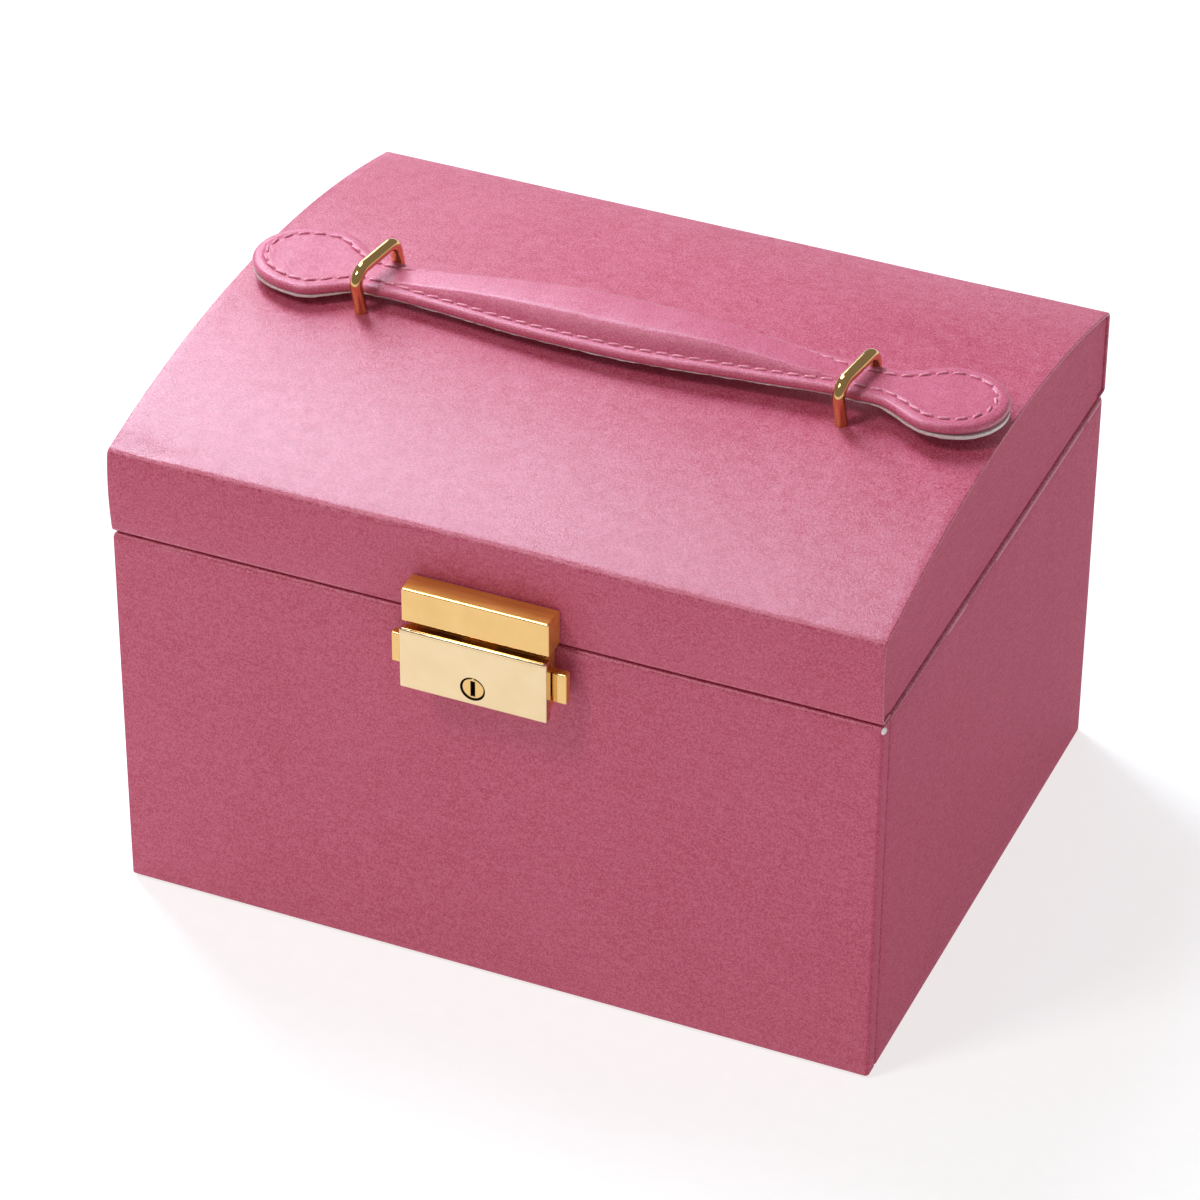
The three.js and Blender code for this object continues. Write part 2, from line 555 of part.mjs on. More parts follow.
function lock() {
  const group = new THREE.Group();
  const haspFront = HASP_BACK_Y - HASP_DEPTH;
  const tongue = box(
    -TONGUE_HALF_WIDTH, TONGUE_HALF_WIDTH, TONGUE_FRONT_Y, TONGUE_BACK_Y,
    TONGUE_BOTTOM_Z, HASP_BOTTOM_Z + 2);
  const block = bevelledPlate(
    -LOCK_HALF_WIDTH, LOCK_HALF_WIDTH, haspFront, HASP_BACK_Y, HASP_BOTTOM_Z, HASP_TOP_Z, LOCK_EDGE);
  part(group, 'hasp', join(block, tongue), gold);

  const caseX = LOCK_HALF_WIDTH - LOCK_CASE_INSET;
  const caseFront = LOCK_PLATE_BACK_Y + GAP;
  const buttonSlots = SIDES.map(([, sign]) => {
    const [x0, x1] = span(sign, SPRING_ROOT_X, LOCK_HALF_WIDTH);
    return box(x0, x1, LOCK_PLATE_BACK_Y, BUTTON_BACK_Y + GAP, BUTTON_BOTTOM_Z - GAP, BUTTON_TOP_Z + GAP);
  });
  const tongueSlotX = TONGUE_HALF_WIDTH + SLIDE_GAP;
  const tongueSlot = box(
    -tongueSlotX, tongueSlotX, TONGUE_FRONT_Y - SLIDE_GAP, TONGUE_BACK_Y + SLIDE_GAP,
    TONGUE_BOTTOM_Z - SLIDE_GAP, LOCK_TOP_Z);
  const keyHole = rodAlongY(KEY_RADIUS + GAP, LOCK_PLATE_FRONT_Y - 1, -HALF_DEPTH, 0, KEY_Z);
  part(group, 'lock_case', cut(
    box(-caseX, caseX, caseFront, HASP_BACK_Y, LOCK_BOTTOM_Z + LOCK_EDGE, LOCK_TOP_Z - LOCK_EDGE),
    ...buttonSlots, tongueSlot, keyHole), gold);

  const bead = rodAlongX(
    BEAD_RADIUS, -LOCK_HALF_WIDTH + LOCK_EDGE, LOCK_HALF_WIDTH - LOCK_EDGE,
    LOCK_PLATE_FRONT_Y, LOCK_TOP_Z - BEAD_RADIUS, 12);
  const plate = bevelledPlate(
    -LOCK_HALF_WIDTH, LOCK_HALF_WIDTH, LOCK_PLATE_FRONT_Y, LOCK_PLATE_BACK_Y,
    LOCK_BOTTOM_Z, LOCK_TOP_Z, LOCK_EDGE);
  part(group, 'lock_front_plate', cut(join(plate, bead), keyHole), gold);

  const springY = (BUTTON_FRONT_Y + BUTTON_BACK_Y) / 2;
  const springZ = (BUTTON_BOTTOM_Z + BUTTON_TOP_Z) / 2;
  const wire = new THREE.Shape().absarc(0, 0, SPRING_WIRE_RADIUS, 0, 2 * Math.PI, false);
  for (const [side, sign] of SIDES) {
    const [x0, x1] = span(sign, BUTTON_ROOT_X, BUTTON_TIP_X);
    part(group, `${side}_button`, box(
      x0, x1, BUTTON_FRONT_Y, BUTTON_BACK_Y, BUTTON_BOTTOM_Z, BUTTON_TOP_Z), gold);
    const springEnds = [SPRING_ROOT_X + 2 * GAP, BUTTON_ROOT_X - 2 * GAP].map((x) => sign * x);
    const coil = helix(...springEnds, springY, springZ, SPRING_RADIUS, SPRING_TURNS);
    part(group, `${side}_button_spring`, new THREE.ExtrudeGeometry(wire, {
      extrudePath: coil, steps: 12 * SPRING_TURNS, curveSegments: 3,
    }), steel);
  }

  const keyFace = LOCK_PLATE_FRONT_Y - GAP;
  part(group, 'key_cylinder', cut(
    rodAlongY(KEY_RADIUS, keyFace, HASP_BACK_Y - GAP, 0, KEY_Z),
    box(-KEY_SLOT_HALF_LENGTH, KEY_SLOT_HALF_LENGTH, keyFace - 1, keyFace + KEY_SLOT_DEPTH,
      KEY_Z - KEY_SLOT_HALF_WIDTH, KEY_Z + KEY_SLOT_HALF_WIDTH)), gold);
  return group;
}

// Back hinges: a leaf on the case, a leaf with a stop fin on the lid, a pin and four rivets each

function hingePair() {
  const group = new THREE.Group();
  const leafOut = LEAF_IN_Y + LEAF_THICKNESS;
  const bore = PIN_RADIUS + PIN_CLEARANCE;
  const relief = KNUCKLE_RADIUS + KNUCKLE_RELIEF;
  const knuckleGap = MIDDLE_KNUCKLE_HALF_WIDTH + GAP;
  for (const [side, sign] of SIDES) {
    const middle = sign * HINGE_X;
    const at = (points) => points.map(([x, z]) => [middle + x, HINGE_AXIS_Z + z]);
    const pinHole = rodAlongX(
      bore, middle - LEAF_HALF_WIDTH - 1, middle + LEAF_HALF_WIDTH + 1, HINGE_AXIS_Y, HINGE_AXIS_Z, 16);
    const holes = rivetHoles(LEAF_IN_Y - 1, leafOut + 1);

    const caseLeaf = prismAlongY(at([
      [-LEAF_HALF_WIDTH, -LEAF_HEIGHT], [LEAF_HALF_WIDTH, -LEAF_HEIGHT], [LEAF_HALF_WIDTH, 0],
      [knuckleGap, 0], [knuckleGap, -relief], [-knuckleGap, -relief], [-knuckleGap, 0],
      [-LEAF_HALF_WIDTH, 0],
    ]), LEAF_IN_Y, leafOut);
    const outerKnuckles = [-1, 1].map((end) => {
      const [k0, k1] = span(end, knuckleGap, LEAF_HALF_WIDTH);
      return rodAlongX(KNUCKLE_RADIUS, middle + k0, middle + k1, HINGE_AXIS_Y, HINGE_AXIS_Z, 20);
    });
    part(group, `${side}_hinge_case_leaf`, cut(join(caseLeaf, ...outerKnuckles), pinHole, ...holes), gold);

    const lidLeaf = prismAlongY(at([
      [-LEAF_HALF_WIDTH, LEAF_HEIGHT], [LEAF_HALF_WIDTH, LEAF_HEIGHT], [LEAF_HALF_WIDTH, relief],
      [MIDDLE_KNUCKLE_HALF_WIDTH, relief], [MIDDLE_KNUCKLE_HALF_WIDTH, 0],
      [-MIDDLE_KNUCKLE_HALF_WIDTH, 0], [-MIDDLE_KNUCKLE_HALF_WIDTH, relief],
      [-LEAF_HALF_WIDTH, relief],
    ]), LEAF_IN_Y, leafOut);
    const knuckle = rodAlongX(
      KNUCKLE_RADIUS, middle - MIDDLE_KNUCKLE_HALF_WIDTH, middle + MIDDLE_KNUCKLE_HALF_WIDTH,
      HINGE_AXIS_Y, HINGE_AXIS_Z, 20);
    // The stop fin stands upright against the case leaf when the lid is fully open.
    const finIn = leafOut + GAP - HINGE_AXIS_Y;
    const fin = box(
      middle - STOP_FIN_HALF_WIDTH, middle + STOP_FIN_HALF_WIDTH, finIn, finIn + STOP_FIN_THICKNESS,
      -STOP_FIN_LENGTH, 0);
    fin.rotateX(THREE.MathUtils.degToRad(LID_OPENING)).translate(0, HINGE_AXIS_Y, HINGE_AXIS_Z);
    part(group, `${side}_hinge_lid_leaf`, cut(join(lidLeaf, knuckle, fin), pinHole, ...holes), gold);

    part(group, `${side}_hinge_pin`, rodAlongX(
      PIN_RADIUS, middle - LEAF_HALF_WIDTH - PIN_OVERHANG, middle + LEAF_HALF_WIDTH + PIN_OVERHANG,
      HINGE_AXIS_Y, HINGE_AXIS_Z, 16), steel);
  }
  return group;
}

function rivets() {
  const group = new THREE.Group();
  const headY = LEAF_IN_Y + LEAF_THICKNESS + GAP;
  const shank = headY - BOARD_IN_Y;
  const profile = [
    [0, -shank], [RIVET_SHANK_RADIUS, -shank], [RIVET_SHANK_RADIUS, 0], [RIVET_HEAD_RADIUS, 0],
  ];
  for (let i = 1; i <= 4; i += 1) {
    const turn = (Math.PI / 2) * (i / 4);
    profile.push([RIVET_HEAD_RADIUS * Math.cos(turn), RIVET_HEAD_HEIGHT * Math.sin(turn)]);
  }
  profile[profile.length - 1][0] = 0;
  const geometry = new THREE.LatheGeometry(profile.map(([r, y]) => new THREE.Vector2(r, y)), 12);
  for (const { name, x, z } of hingeRivetPlaces()) {
    part(group, name, geometry.clone().translate(x, headY, z), gold);
  }
  return group;
}

// Lift-out tray, resting on the side ledges

function tray() {
  const group = new THREE.Group();
  const outX = LINING_IN_X - TRAY_CLEARANCE;
  const outY = LINING_IN_Y - TRAY_CLEARANCE;
  const inX = outX - TRAY_WALL;
  const inY = outY - TRAY_WALL;
  const bottom = LEDGE_Z + GAP;
  const floor = bottom + TRAY_WALL;
  part(group, 'tray_shell', cut(
    box(-outX, outX, -outY, outY, bottom, TRAY_TOP_Z),
    box(-inX, inX, -inY, inY, floor, TRAY_TOP_Z + 1)), velvet);

  const foot = floor + GAP;
  const half = TRAY_WALL / 2;
  part(group, 'tray_long_divider', box(
    -inX + GAP, inX - GAP, DIVIDER_Y - half, DIVIDER_Y + half, foot, DIVIDER_TOP_Z), velvet);
  part(group, 'tray_cross_divider', box(
    DIVIDER_X - half, DIVIDER_X + half, -inY + GAP, DIVIDER_Y - half - GAP, foot, DIVIDER_TOP_Z), velvet);
  const pullFront = DIVIDER_Y + half + GAP;
  const pullBack = pullFront + PULL_THICKNESS;
  part(group, 'tray_pull', box(
    -PULL_WIDTH / 2, PULL_WIDTH / 2, pullFront, pullBack,
    DIVIDER_TOP_Z - PULL_TUCK, DIVIDER_TOP_Z + PULL_RISE), leatherette);

  const rollFront = pullBack + GAP;
  const pitch = (inY - GAP - rollFront) / RING_ROLLS;
  const rollRadius = pitch / 2;
  const section = [[rollFront, foot]];
  for (let i = 0; i < RING_ROLLS; i += 1) {
    const centre = rollFront + pitch * (i + 0.5);
    for (let step = 0; step <= 8; step += 1) {
      const turn = Math.PI * (1 - step / 8);
      const z = RING_ROLL_TOP_Z - rollRadius * (1 - Math.sin(turn));
      section.push([centre + rollRadius * Math.cos(turn), z]);
    }
  }
  section.push([inY - GAP, foot]);
  part(group, 'ring_rolls', prismAlongX(section, -inX + GAP, inX - GAP), velvet);
  return group;
}

const trainCase = new THREE.Group();
trainCase.add(
  caseShell(), caseLining(), lidShell(), lidInside(), loops(), strap(), lock(),
  hingePair(), rivets(), tray());

export default trainCase;
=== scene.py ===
"""Makeup train case with a sliding strap handle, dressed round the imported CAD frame."""
import json
import random
from math import atan2, cos, exp, hypot, pi, radians, sin, sqrt

import bmesh
import bpy
import numpy as np
from mathutils import Matrix, Vector, noise


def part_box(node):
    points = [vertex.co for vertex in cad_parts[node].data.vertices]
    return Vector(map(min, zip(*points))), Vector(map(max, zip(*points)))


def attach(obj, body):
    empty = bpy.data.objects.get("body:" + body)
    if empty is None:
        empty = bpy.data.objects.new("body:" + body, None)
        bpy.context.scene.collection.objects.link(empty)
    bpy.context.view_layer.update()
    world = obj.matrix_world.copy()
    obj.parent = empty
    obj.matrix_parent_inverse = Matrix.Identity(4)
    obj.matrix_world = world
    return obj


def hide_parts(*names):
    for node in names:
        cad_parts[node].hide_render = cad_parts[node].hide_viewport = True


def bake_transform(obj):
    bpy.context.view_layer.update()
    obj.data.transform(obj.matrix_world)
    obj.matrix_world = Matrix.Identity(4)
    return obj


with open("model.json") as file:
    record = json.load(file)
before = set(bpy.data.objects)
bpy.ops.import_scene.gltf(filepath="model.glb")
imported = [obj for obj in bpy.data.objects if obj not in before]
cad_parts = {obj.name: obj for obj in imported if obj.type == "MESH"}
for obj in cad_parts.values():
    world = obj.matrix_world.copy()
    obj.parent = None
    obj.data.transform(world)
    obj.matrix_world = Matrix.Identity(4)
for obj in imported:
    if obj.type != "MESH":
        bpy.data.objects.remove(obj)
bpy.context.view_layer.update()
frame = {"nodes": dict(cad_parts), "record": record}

MM = 0.001

# Sizes in millimetres that the frame doesn't give
ARCH_RISE = 9.0
SKIN = 0.7
FOLD_RADIUS = 1.9
LID_BOW = 0.8
LID_BOW_BELOW = 7
LOCK_HOLD = 26
HEM_RADIUS = 1.0
HEM_DEPTH = 4.0
RIM_RADIUS = 1.2
FRONT_CORNER = 0.9
BACK_CORNER = 2.5
GUSSET_EDGE = 0.5
WALL_PITCH = 3.0
FOLD_GAP = 0.1
WORN_RADIUS = 0.55
WORN_HALF = 0.95
WORN_LEAN = 0.25
LOOP_LEAN = 1.6
LOOP_TWIST = 0.115
WIRE_RADIUS = 1.4
STRAP_EDGE = 1.1
PADDLE_INSET = 2.9
GRIP_INSET = 2.2
STITCH_PITCH = 3.6
STITCH_SHARE = 0.84
STITCH_SLOPE = 0.10
THREAD_RADIUS = 0.34
GRIP_RISE = 3.5
GRIP_FLANK = 3.3
GRIP_CROWN = 0.35
LIP_DROOP = 0.55
RIM_BEAD = 0.16
GROOVE_DEPTH = 0.30
GROOVE_WIDTH = 0.36
SEAM_X = 25.0

# Where the strap bends: a hinge's middle and the half length over which it turns
END_BEND_X = 50.0
END_BEND_HALF = 5.0
MIDDLE_BEND_HALF = 16.0


def extent(node):
    """Lowest and highest corner of a CAD node in millimetres."""
    low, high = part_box(node)
    return np.array(low) / MM, np.array(high) / MM


def link(item):
    bpy.context.scene.collection.objects.link(item)


# Camera and stage

CAMERA_PLACE = (0.3650, -0.8601, 0.7035)
CAMERA_AZIMUTH = radians(23.236)
CAMERA_ELEVATION = radians(34.771)
CAMERA_ROLL = radians(0.321)
CAMERA_LENS = 154.53
SENSOR_WIDTH = 36
WORLD_STRENGTH = 0.27
FLOOR_SIZE = 6
FLOOR_DROP = 0.0004
FLOOR_GLOW = 0.72

# Lights in metres and watts: place, target, width, height, power, colour
SOFTBOXES = {
    "key_softbox": ((-0.54, 0.39, 0.87), (-0.03, 0.0, 0.1), 0.30, 0.75, 12.8, (0.74, 0.87, 1.0)),
    "window_light": ((-0.55, 0.70, 0.43), (-0.05, 0.0, 0.11), 0.30, 0.30, 1.2, (0.80, 0.90, 1.0)),
    "front_softbox": ((-0.50, -0.75, 1.30), (0.0, 0.0, 0.05), 0.28, 0.40, 7.3, (1.0, 0.93, 0.93)),
}


def make_camera():
    data = bpy.data.cameras.new("camera")
    data.sensor_width = SENSOR_WIDTH
    data.lens = CAMERA_LENS
    data.clip_start = 0.01
    camera = bpy.data.objects.new("camera", data)
    camera.matrix_world = (
        Matrix.Translation(CAMERA_PLACE) @ Matrix.Rotation(CAMERA_AZIMUTH, 4, "Z")
        @ Matrix.Rotation(pi / 2 - CAMERA_ELEVATION, 4, "X") @ Matrix.Rotation(CAMERA_ROLL, 4, "Z"))
    link(camera)
    bpy.context.scene.camera = camera


def softbox(name, place, target, width, height, power, colour):
    data = bpy.data.lights.new(name, "AREA")
    data.shape = "RECTANGLE"
    data.size = width
    data.size_y = height
    data.energy = power
    data.color = colour
    light = bpy.data.objects.new(name, data)
    light.location = place
    light.rotation_euler = (Vector(target) - Vector(place)).to_track_quat("-Z", "Y").to_euler()
    link(light)


def make_floor():
    """White paper: it glows a little, so that it stays white without throwing much light on the walls."""
    bpy.ops.mesh.primitive_plane_add(size=FLOOR_SIZE, location=(0, 0, -FLOOR_DROP))
    floor = bpy.context.object
    floor.name = "floor"
    shade = Nodes("floor_paper")
    paper = shade.ramp(shade.noise(240), (0.39, 0.39, 0.39), (0.42, 0.42, 0.42))
    floor.data.materials.append(
        shade.finish(paper, 0.9, Emission_Strength=FLOOR_GLOW, Emission_Color=(1, 1, 1, 1)))


def make_stage():
    scene = bpy.context.scene
    scene.view_settings.view_transform = "Standard"
    world = bpy.data.worlds.new("studio")
    world.use_nodes = True
    background = world.node_tree.nodes["Background"]
    background.inputs["Color"].default_value = (1.0, 0.99, 0.985, 1)
    background.inputs["Strength"].default_value = WORLD_STRENGTH
    scene.world = world
    for name, settings in SOFTBOXES.items():
        softbox(name, *settings)
    make_floor()


# Procedural materials

# Most of a noise lies between these two values
NOISE_LOW = 0.3
NOISE_HIGH = 0.7


class Nodes:
    """A material's Principled shader, and short ways to feed it."""

    def __init__(self, name):
        self.material = bpy.data.materials.new(name)
        self.material.use_nodes = True
        self.tree = self.material.node_tree
        self.shader = self.tree.nodes["Principled BSDF"]
        self.place = self.node("TexCoord").outputs["Object"]

    def feed(self, node, name, value):
        if isinstance(value, bpy.types.NodeSocket):
            self.tree.links.new(value, node.inputs[name])
        else:
            node.inputs[name].default_value = value

    def node(self, kind, **values):
        """A new node; an underscore stands for the space in an input's name."""
        node = self.tree.nodes.new("ShaderNode" + kind)
        for name, value in values.items():
            self.feed(node, name.replace("_", " "), value)
        return node

    def set(self, **values):
        for name, value in values.items():
            self.feed(self.shader, name.replace("_", " "), value)

    def noise(self, scale, detail=2.0, roughness=0.5, stretch=(1, 1, 1), distortion=0.0):
        place = self.node("Mapping", Vector=self.place, Scale=stretch).outputs["Vector"]
        return self.node("TexNoise", Vector=place, Scale=scale, Detail=detail, Roughness=roughness,
                         Distortion=distortion).outputs["Fac"]

    def math(self, operation, first, second):
        node = self.node("Math")
        node.operation = operation
        self.feed(node, 0, first)
        self.feed(node, 1, second)
        return node.outputs[0]

    def blend(self, first, second, share):
        """Adds two heights, the second with the given share."""
        return self.math("ADD", self.math("MULTIPLY", first, 1 - share), self.math("MULTIPLY", second, share))

    def spread(self, value, low, high):
        """Maps the middle of a noise onto low to high."""
        return self.node("MapRange", Value=value, From_Min=NOISE_LOW, From_Max=NOISE_HIGH,
                         To_Min=low, To_Max=high).outputs["Result"]

    def ramp(self, value, dark, light, low=NOISE_LOW, high=NOISE_HIGH):
        """Runs from one colour to the other between two values."""
        node = self.node("ValToRGB", Fac=value)
        for element, position, colour in zip(node.color_ramp.elements, (low, high), (dark, light)):
            element.position = position
            element.color = (*colour, 1)
        return node.outputs["Color"]

    def mix(self, factor, first, second):
        node = self.node("Mix")
        node.data_type = "RGBA"
        for socket, value in ((0, factor), (6, first), (7, second)):
            self.feed(node, socket, value)
        return node.outputs[2]

    def finish(self, colour, rough, *layers, **values):
        """The finished material. Each layer of its relief is (height, depth in millimetres)."""
        normal = None
        for height, depth in layers:
            node = self.node("Bump", Strength=1.0, Distance=depth * MM, Height=height)
            if normal is not None:
                self.feed(node, "Normal", normal)
            normal = node.outputs["Normal"]
            self.set(Normal=normal)
        self.set(Base_Color=colour, Roughness=rough, **values)
        return self.material


def leatherette(name, light, dark, gloss, rough):
    """Pearl leatherette: a fine pale speckle, faint drawn-out streaks and slow mottling."""
    shade = Nodes(name)
    speckle = shade.noise(2700, detail=3, roughness=0.7)
    streak = shade.noise(1100, stretch=(0.3, 0.3, 1))
    mottle = shade.noise(38, detail=3)
    grain = shade.blend(speckle, streak, 0.15)
    fine = shade.ramp(grain, dark, light, 0.41, 0.59)
    return shade.finish(shade.mix(0.12, fine, shade.ramp(mottle, dark, light)),
                        shade.spread(shade.blend(grain, mottle, 0.3), rough - 0.05, rough + 0.05),
                        (speckle, 0.08), (streak, 0.008), (mottle, 0.05), Specular_IOR_Level=gloss)


def polished_gold(name, light, dark, *rough):
    """Gold plate: polished, with hair scratches and a little unevenness."""
    shade = Nodes(name)
    hair = shade.noise(900, stretch=(0.08, 1, 1))
    cloud = shade.noise(160, detail=3)
    return shade.finish(shade.ramp(cloud, dark, light),
                        shade.spread(shade.blend(hair, cloud, 0.5), *rough),
                        (hair, 0.0012), (cloud, 0.004), Metallic=1.0)


def shade_painted_gold():
    """Gold for the lock's top and side faces: rough and finely streaked, in a deeper, darker orange that is
    painted shade and painted reflection of the pink lid.
    """
    shade = Nodes("shade_painted_gold")
    fine_streaks = shade.noise(1400, detail=3, stretch=(0.05, 1, 0.3))
    cloud = shade.noise(120)
    return shade.finish(shade.ramp(fine_streaks, (0.80, 0.42, 0.09), (0.92, 0.53, 0.14)),
                        shade.spread(shade.blend(fine_streaks, cloud, 0.4), 0.32, 0.44),
                        (fine_streaks, 0.008), Metallic=0.8)


def velvet():
    """Short cream pile: fibre noise, brushed patches and a soft sheen."""
    shade = Nodes("velvet")
    fibre = shade.noise(3200, roughness=0.7)
    patch = shade.noise(38, detail=3, distortion=0.6)
    pile = shade.blend(fibre, patch, 0.5)
    return shade.finish(shade.ramp(pile, (0.52, 0.44, 0.37), (0.70, 0.62, 0.54), 0.34, 0.66),
                        shade.spread(fibre, 0.85, 1.0), (fibre, 0.09), (patch, 0.12), Sheen_Weight=0.55,
                        Sheen_Roughness=0.35, Sheen_Tint=(1.0, 0.95, 0.88, 1), Specular_IOR_Level=0.2)


def core_board():
    """Grey-brown board with drawn-out fibres and a few dark flecks."""
    shade = Nodes("core_board")
    fibre = shade.noise(700, detail=4, stretch=(0.4, 1, 1))
    fleck = shade.math("GREATER_THAN", shade.noise(1900, detail=1), 0.66)
    board = shade.ramp(fibre, (0.34, 0.27, 0.20), (0.48, 0.39, 0.29))
    return shade.finish(shade.mix(fleck, board, (0.22, 0.16, 0.11, 1)), shade.spread(fibre, 0.82, 0.96),
                        (fibre, 0.06))


def plain(name, scale, dark, light, rough, depth=0, metallic=0.0, **noise_settings):
    """A finish whose colour, roughness and relief all follow one noise."""
    shade = Nodes(name)
    grain = shade.noise(scale, **noise_settings)
    relief = [(grain, depth)] if depth else []
    colour = shade.ramp(grain, dark, light)
    return shade.finish(colour, shade.spread(grain, *rough), *relief, Metallic=metallic)


def mirror_glass():
    return plain("mirror_glass", 60, (0.90, 0.92, 0.92), (0.94, 0.95, 0.95), (0.0, 0.035),
                        metallic=1.0, detail=4, distortion=1.2)


def painted_shade_recess():
    """Painted shade: a near-black finish for the unlit inside of the key slot and the gap round the key
    barrel.
    """
    return plain("painted_shade_recess", 900, (0.010, 0.007, 0.005), (0.028, 0.018, 0.010), (0.55, 0.8))


def plated_steel():
    return plain("plated_steel", 1100, (0.50, 0.50, 0.51), (0.64, 0.64, 0.65), (0.24, 0.40), 0.004,
                        metallic=1.0, detail=3, stretch=(0.2, 1, 1))


def backing_felt():
    """Off-white bonded backing that shows at the strap's lower edge."""
    return plain("backing_felt", 1800, (0.66, 0.60, 0.57), (0.86, 0.82, 0.79), (0.85, 1.0), 0.08,
                        detail=3, stretch=(0.5, 1, 1))


def thread():
    """Pink twisted sewing thread."""
    return plain("thread", 2600, (0.68, 0.18, 0.28), (0.86, 0.34, 0.44), (0.40, 0.55), 0.05,
                        detail=1, stretch=(1, 0.35, 1))


# Mesh helpers: shapes are worked out in millimetres

BEVEL_SHARP = 38


def make_object(name, verts, faces, finish, sharp=42):
    mesh = bpy.data.meshes.new(name)
    mesh.from_pydata((np.array(verts) * MM).tolist(), [], faces)
    mesh.materials.append(finish)
    piece = bpy.data.objects.new(name, mesh)
    link(piece)
    tidy_mesh(piece, sharp)
    return piece


def tidy_mesh(piece, sharp):
    """Merges doubled points, turns all faces outward and shades smooth up to an angle."""
    work = bmesh.new()
    work.from_mesh(piece.data)
    bmesh.ops.remove_doubles(work, verts=work.verts, dist=1e-6)
    bmesh.ops.dissolve_degenerate(work, edges=work.edges, dist=1e-7)
    bmesh.ops.recalc_face_normals(work, faces=work.faces)
    for face in work.faces:
        face.smooth = True
    for edge in work.edges:
        edge.smooth = len(edge.link_faces) == 2 and edge.calc_face_angle(0.0) < radians(sharp)
    work.to_mesh(piece.data)
    work.free()


def bake_modifiers(piece):
    """Replaces a piece's mesh by what its modifiers make of it."""
    bpy.context.view_layer.update()
    graph = bpy.context.evaluated_depsgraph_get()
    final = bpy.data.meshes.new_from_object(piece.evaluated_get(graph))
    piece.modifiers.clear()
    piece.data = final


def soften(piece, radius, segments=3):
    """Rounds a piece's hard edges by a radius in millimetres."""
    bevel = piece.modifiers.new("soften", "BEVEL")
    bevel.width = radius * MM
    bevel.segments = segments
    bevel.limit_method = "ANGLE"
    bevel.angle_limit = radians(30)
    bake_modifiers(piece)
    tidy_mesh(piece, BEVEL_SHARP)
    piece.modifiers.new("even_shading", "WEIGHTED_NORMAL").keep_sharp = True
    bake_modifiers(piece)


def cut_out(piece, tool):
    """Cuts a tool's shape out of a piece; the cut faces keep the tool's material."""
    boolean = piece.modifiers.new("cut", "BOOLEAN")
    boolean.operation = "DIFFERENCE"
    boolean.solver = "EXACT"
    boolean.object = tool
    boolean.material_mode = "TRANSFER"
    bake_modifiers(piece)
    tidy_mesh(piece, BEVEL_SHARP)
    bpy.data.objects.remove(tool)


def box_mesh(low, high):
    corners = [(x, y, z) for z in (low[2], high[2]) for y in (low[1], high[1]) for x in (low[0], high[0])]
    faces = [(0, 2, 3, 1), (4, 5, 7, 6), (0, 1, 5, 4), (2, 6, 7, 3), (0, 4, 6, 2), (1, 3, 7, 5)]
    return corners, faces


def rounded_box(name, low, high, radius, finish, segments=4):
    piece = make_object(name, *box_mesh(low, high), finish)
    soften(piece, radius, segments)
    return piece


def shell(verts, size, wrap=False):
    """Points and faces of rings of a size. The ends are capped, or the last ring joins the first."""
    rings = len(verts) // size
    faces = []
    for ring in range(rings if wrap else rings - 1):
        start, after = ring * size, (ring + 1) % rings * size
        for i in range(size):
            j = (i + 1) % size
            faces.append((start + i, start + j, after + j, after + i))
    if not wrap:
        faces.append(tuple(reversed(range(size))))
        faces.append(tuple((rings - 1) * size + i for i in range(size)))
    return verts, faces


def append_shell(verts, faces, more_verts, more_faces):
    offset = len(verts)
    verts += more_verts
    faces += [tuple(index + offset for index in face) for face in more_faces]


def circle(sides):
    """Cosine and sine of evenly spaced angles round a circle."""
    return [(cos(2 * pi * k / sides), sin(2 * pi * k / sides)) for k in range(sides)]


def steps(low, high, pitch):
    """Evenly spaced values from low to high, about a pitch apart."""
    return np.linspace(low, high, max(2, round(abs(high - low) / pitch) + 1))


def quarter(count):
    """Angles of a quarter turn, without its two ends."""
    return [pi / 2 * i / count for i in range(1, count)]


def smoothstep(value):
    value = min(max(value, 0.0), 1.0)
    return value * value * (3 - 2 * value)


def join(name, first, second):
    """Joins two meshes, which stay separate shells and keep their own materials."""
    shared, own = first.data.materials, second.data.materials
    for finish in own:
        if shared.find(finish.name) < 0:
            shared.append(finish)
    work = bmesh.new()
    work.from_mesh(first.data)
    before = len(work.faces)
    work.from_mesh(second.data)
    work.faces.ensure_lookup_table()
    for face in work.faces[before:]:
        face.material_index = shared.find(own[face.material_index].name)
    work.to_mesh(first.data)
    work.free()
    bpy.data.objects.remove(second)
    first.name = name
    return first


def paint_faces(piece, finish, chosen):
    """Gives another finish to the faces whose normal passes a test."""
    piece.data.materials.append(finish)
    index = len(piece.data.materials) - 1
    for polygon in piece.data.polygons:
        if chosen(polygon.normal):
            polygon.material_index = index


def settle(piece, body, slot, *nodes):
    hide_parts(*nodes)
    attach(piece, body)


def refine(node, body, slot, finish, radius, segments=2):
    """A CAD node's own shape with merged flat faces and rounded edges."""
    piece = bpy.data.objects.new(node + "_finish", frame["nodes"][node].data.copy())
    link(piece)
    piece.matrix_world = frame["nodes"][node].matrix_world
    piece.data.materials.clear()
    piece.data.materials.append(finish)
    work = bmesh.new()
    work.from_mesh(piece.data)
    bmesh.ops.remove_doubles(work, verts=work.verts, dist=1e-6)
    bmesh.ops.dissolve_limit(work, angle_limit=radians(1), verts=work.verts, edges=work.edges)
    work.to_mesh(piece.data)
    work.free()
    soften(piece, radius, segments)
    settle(piece, body, slot, node)


def bumps(x, y, z, size, amount):
    """A soft random displacement with bumps of about the given size."""
    return amount * noise.noise(Vector((x, y, z)) / size)


# Covers of the lower case

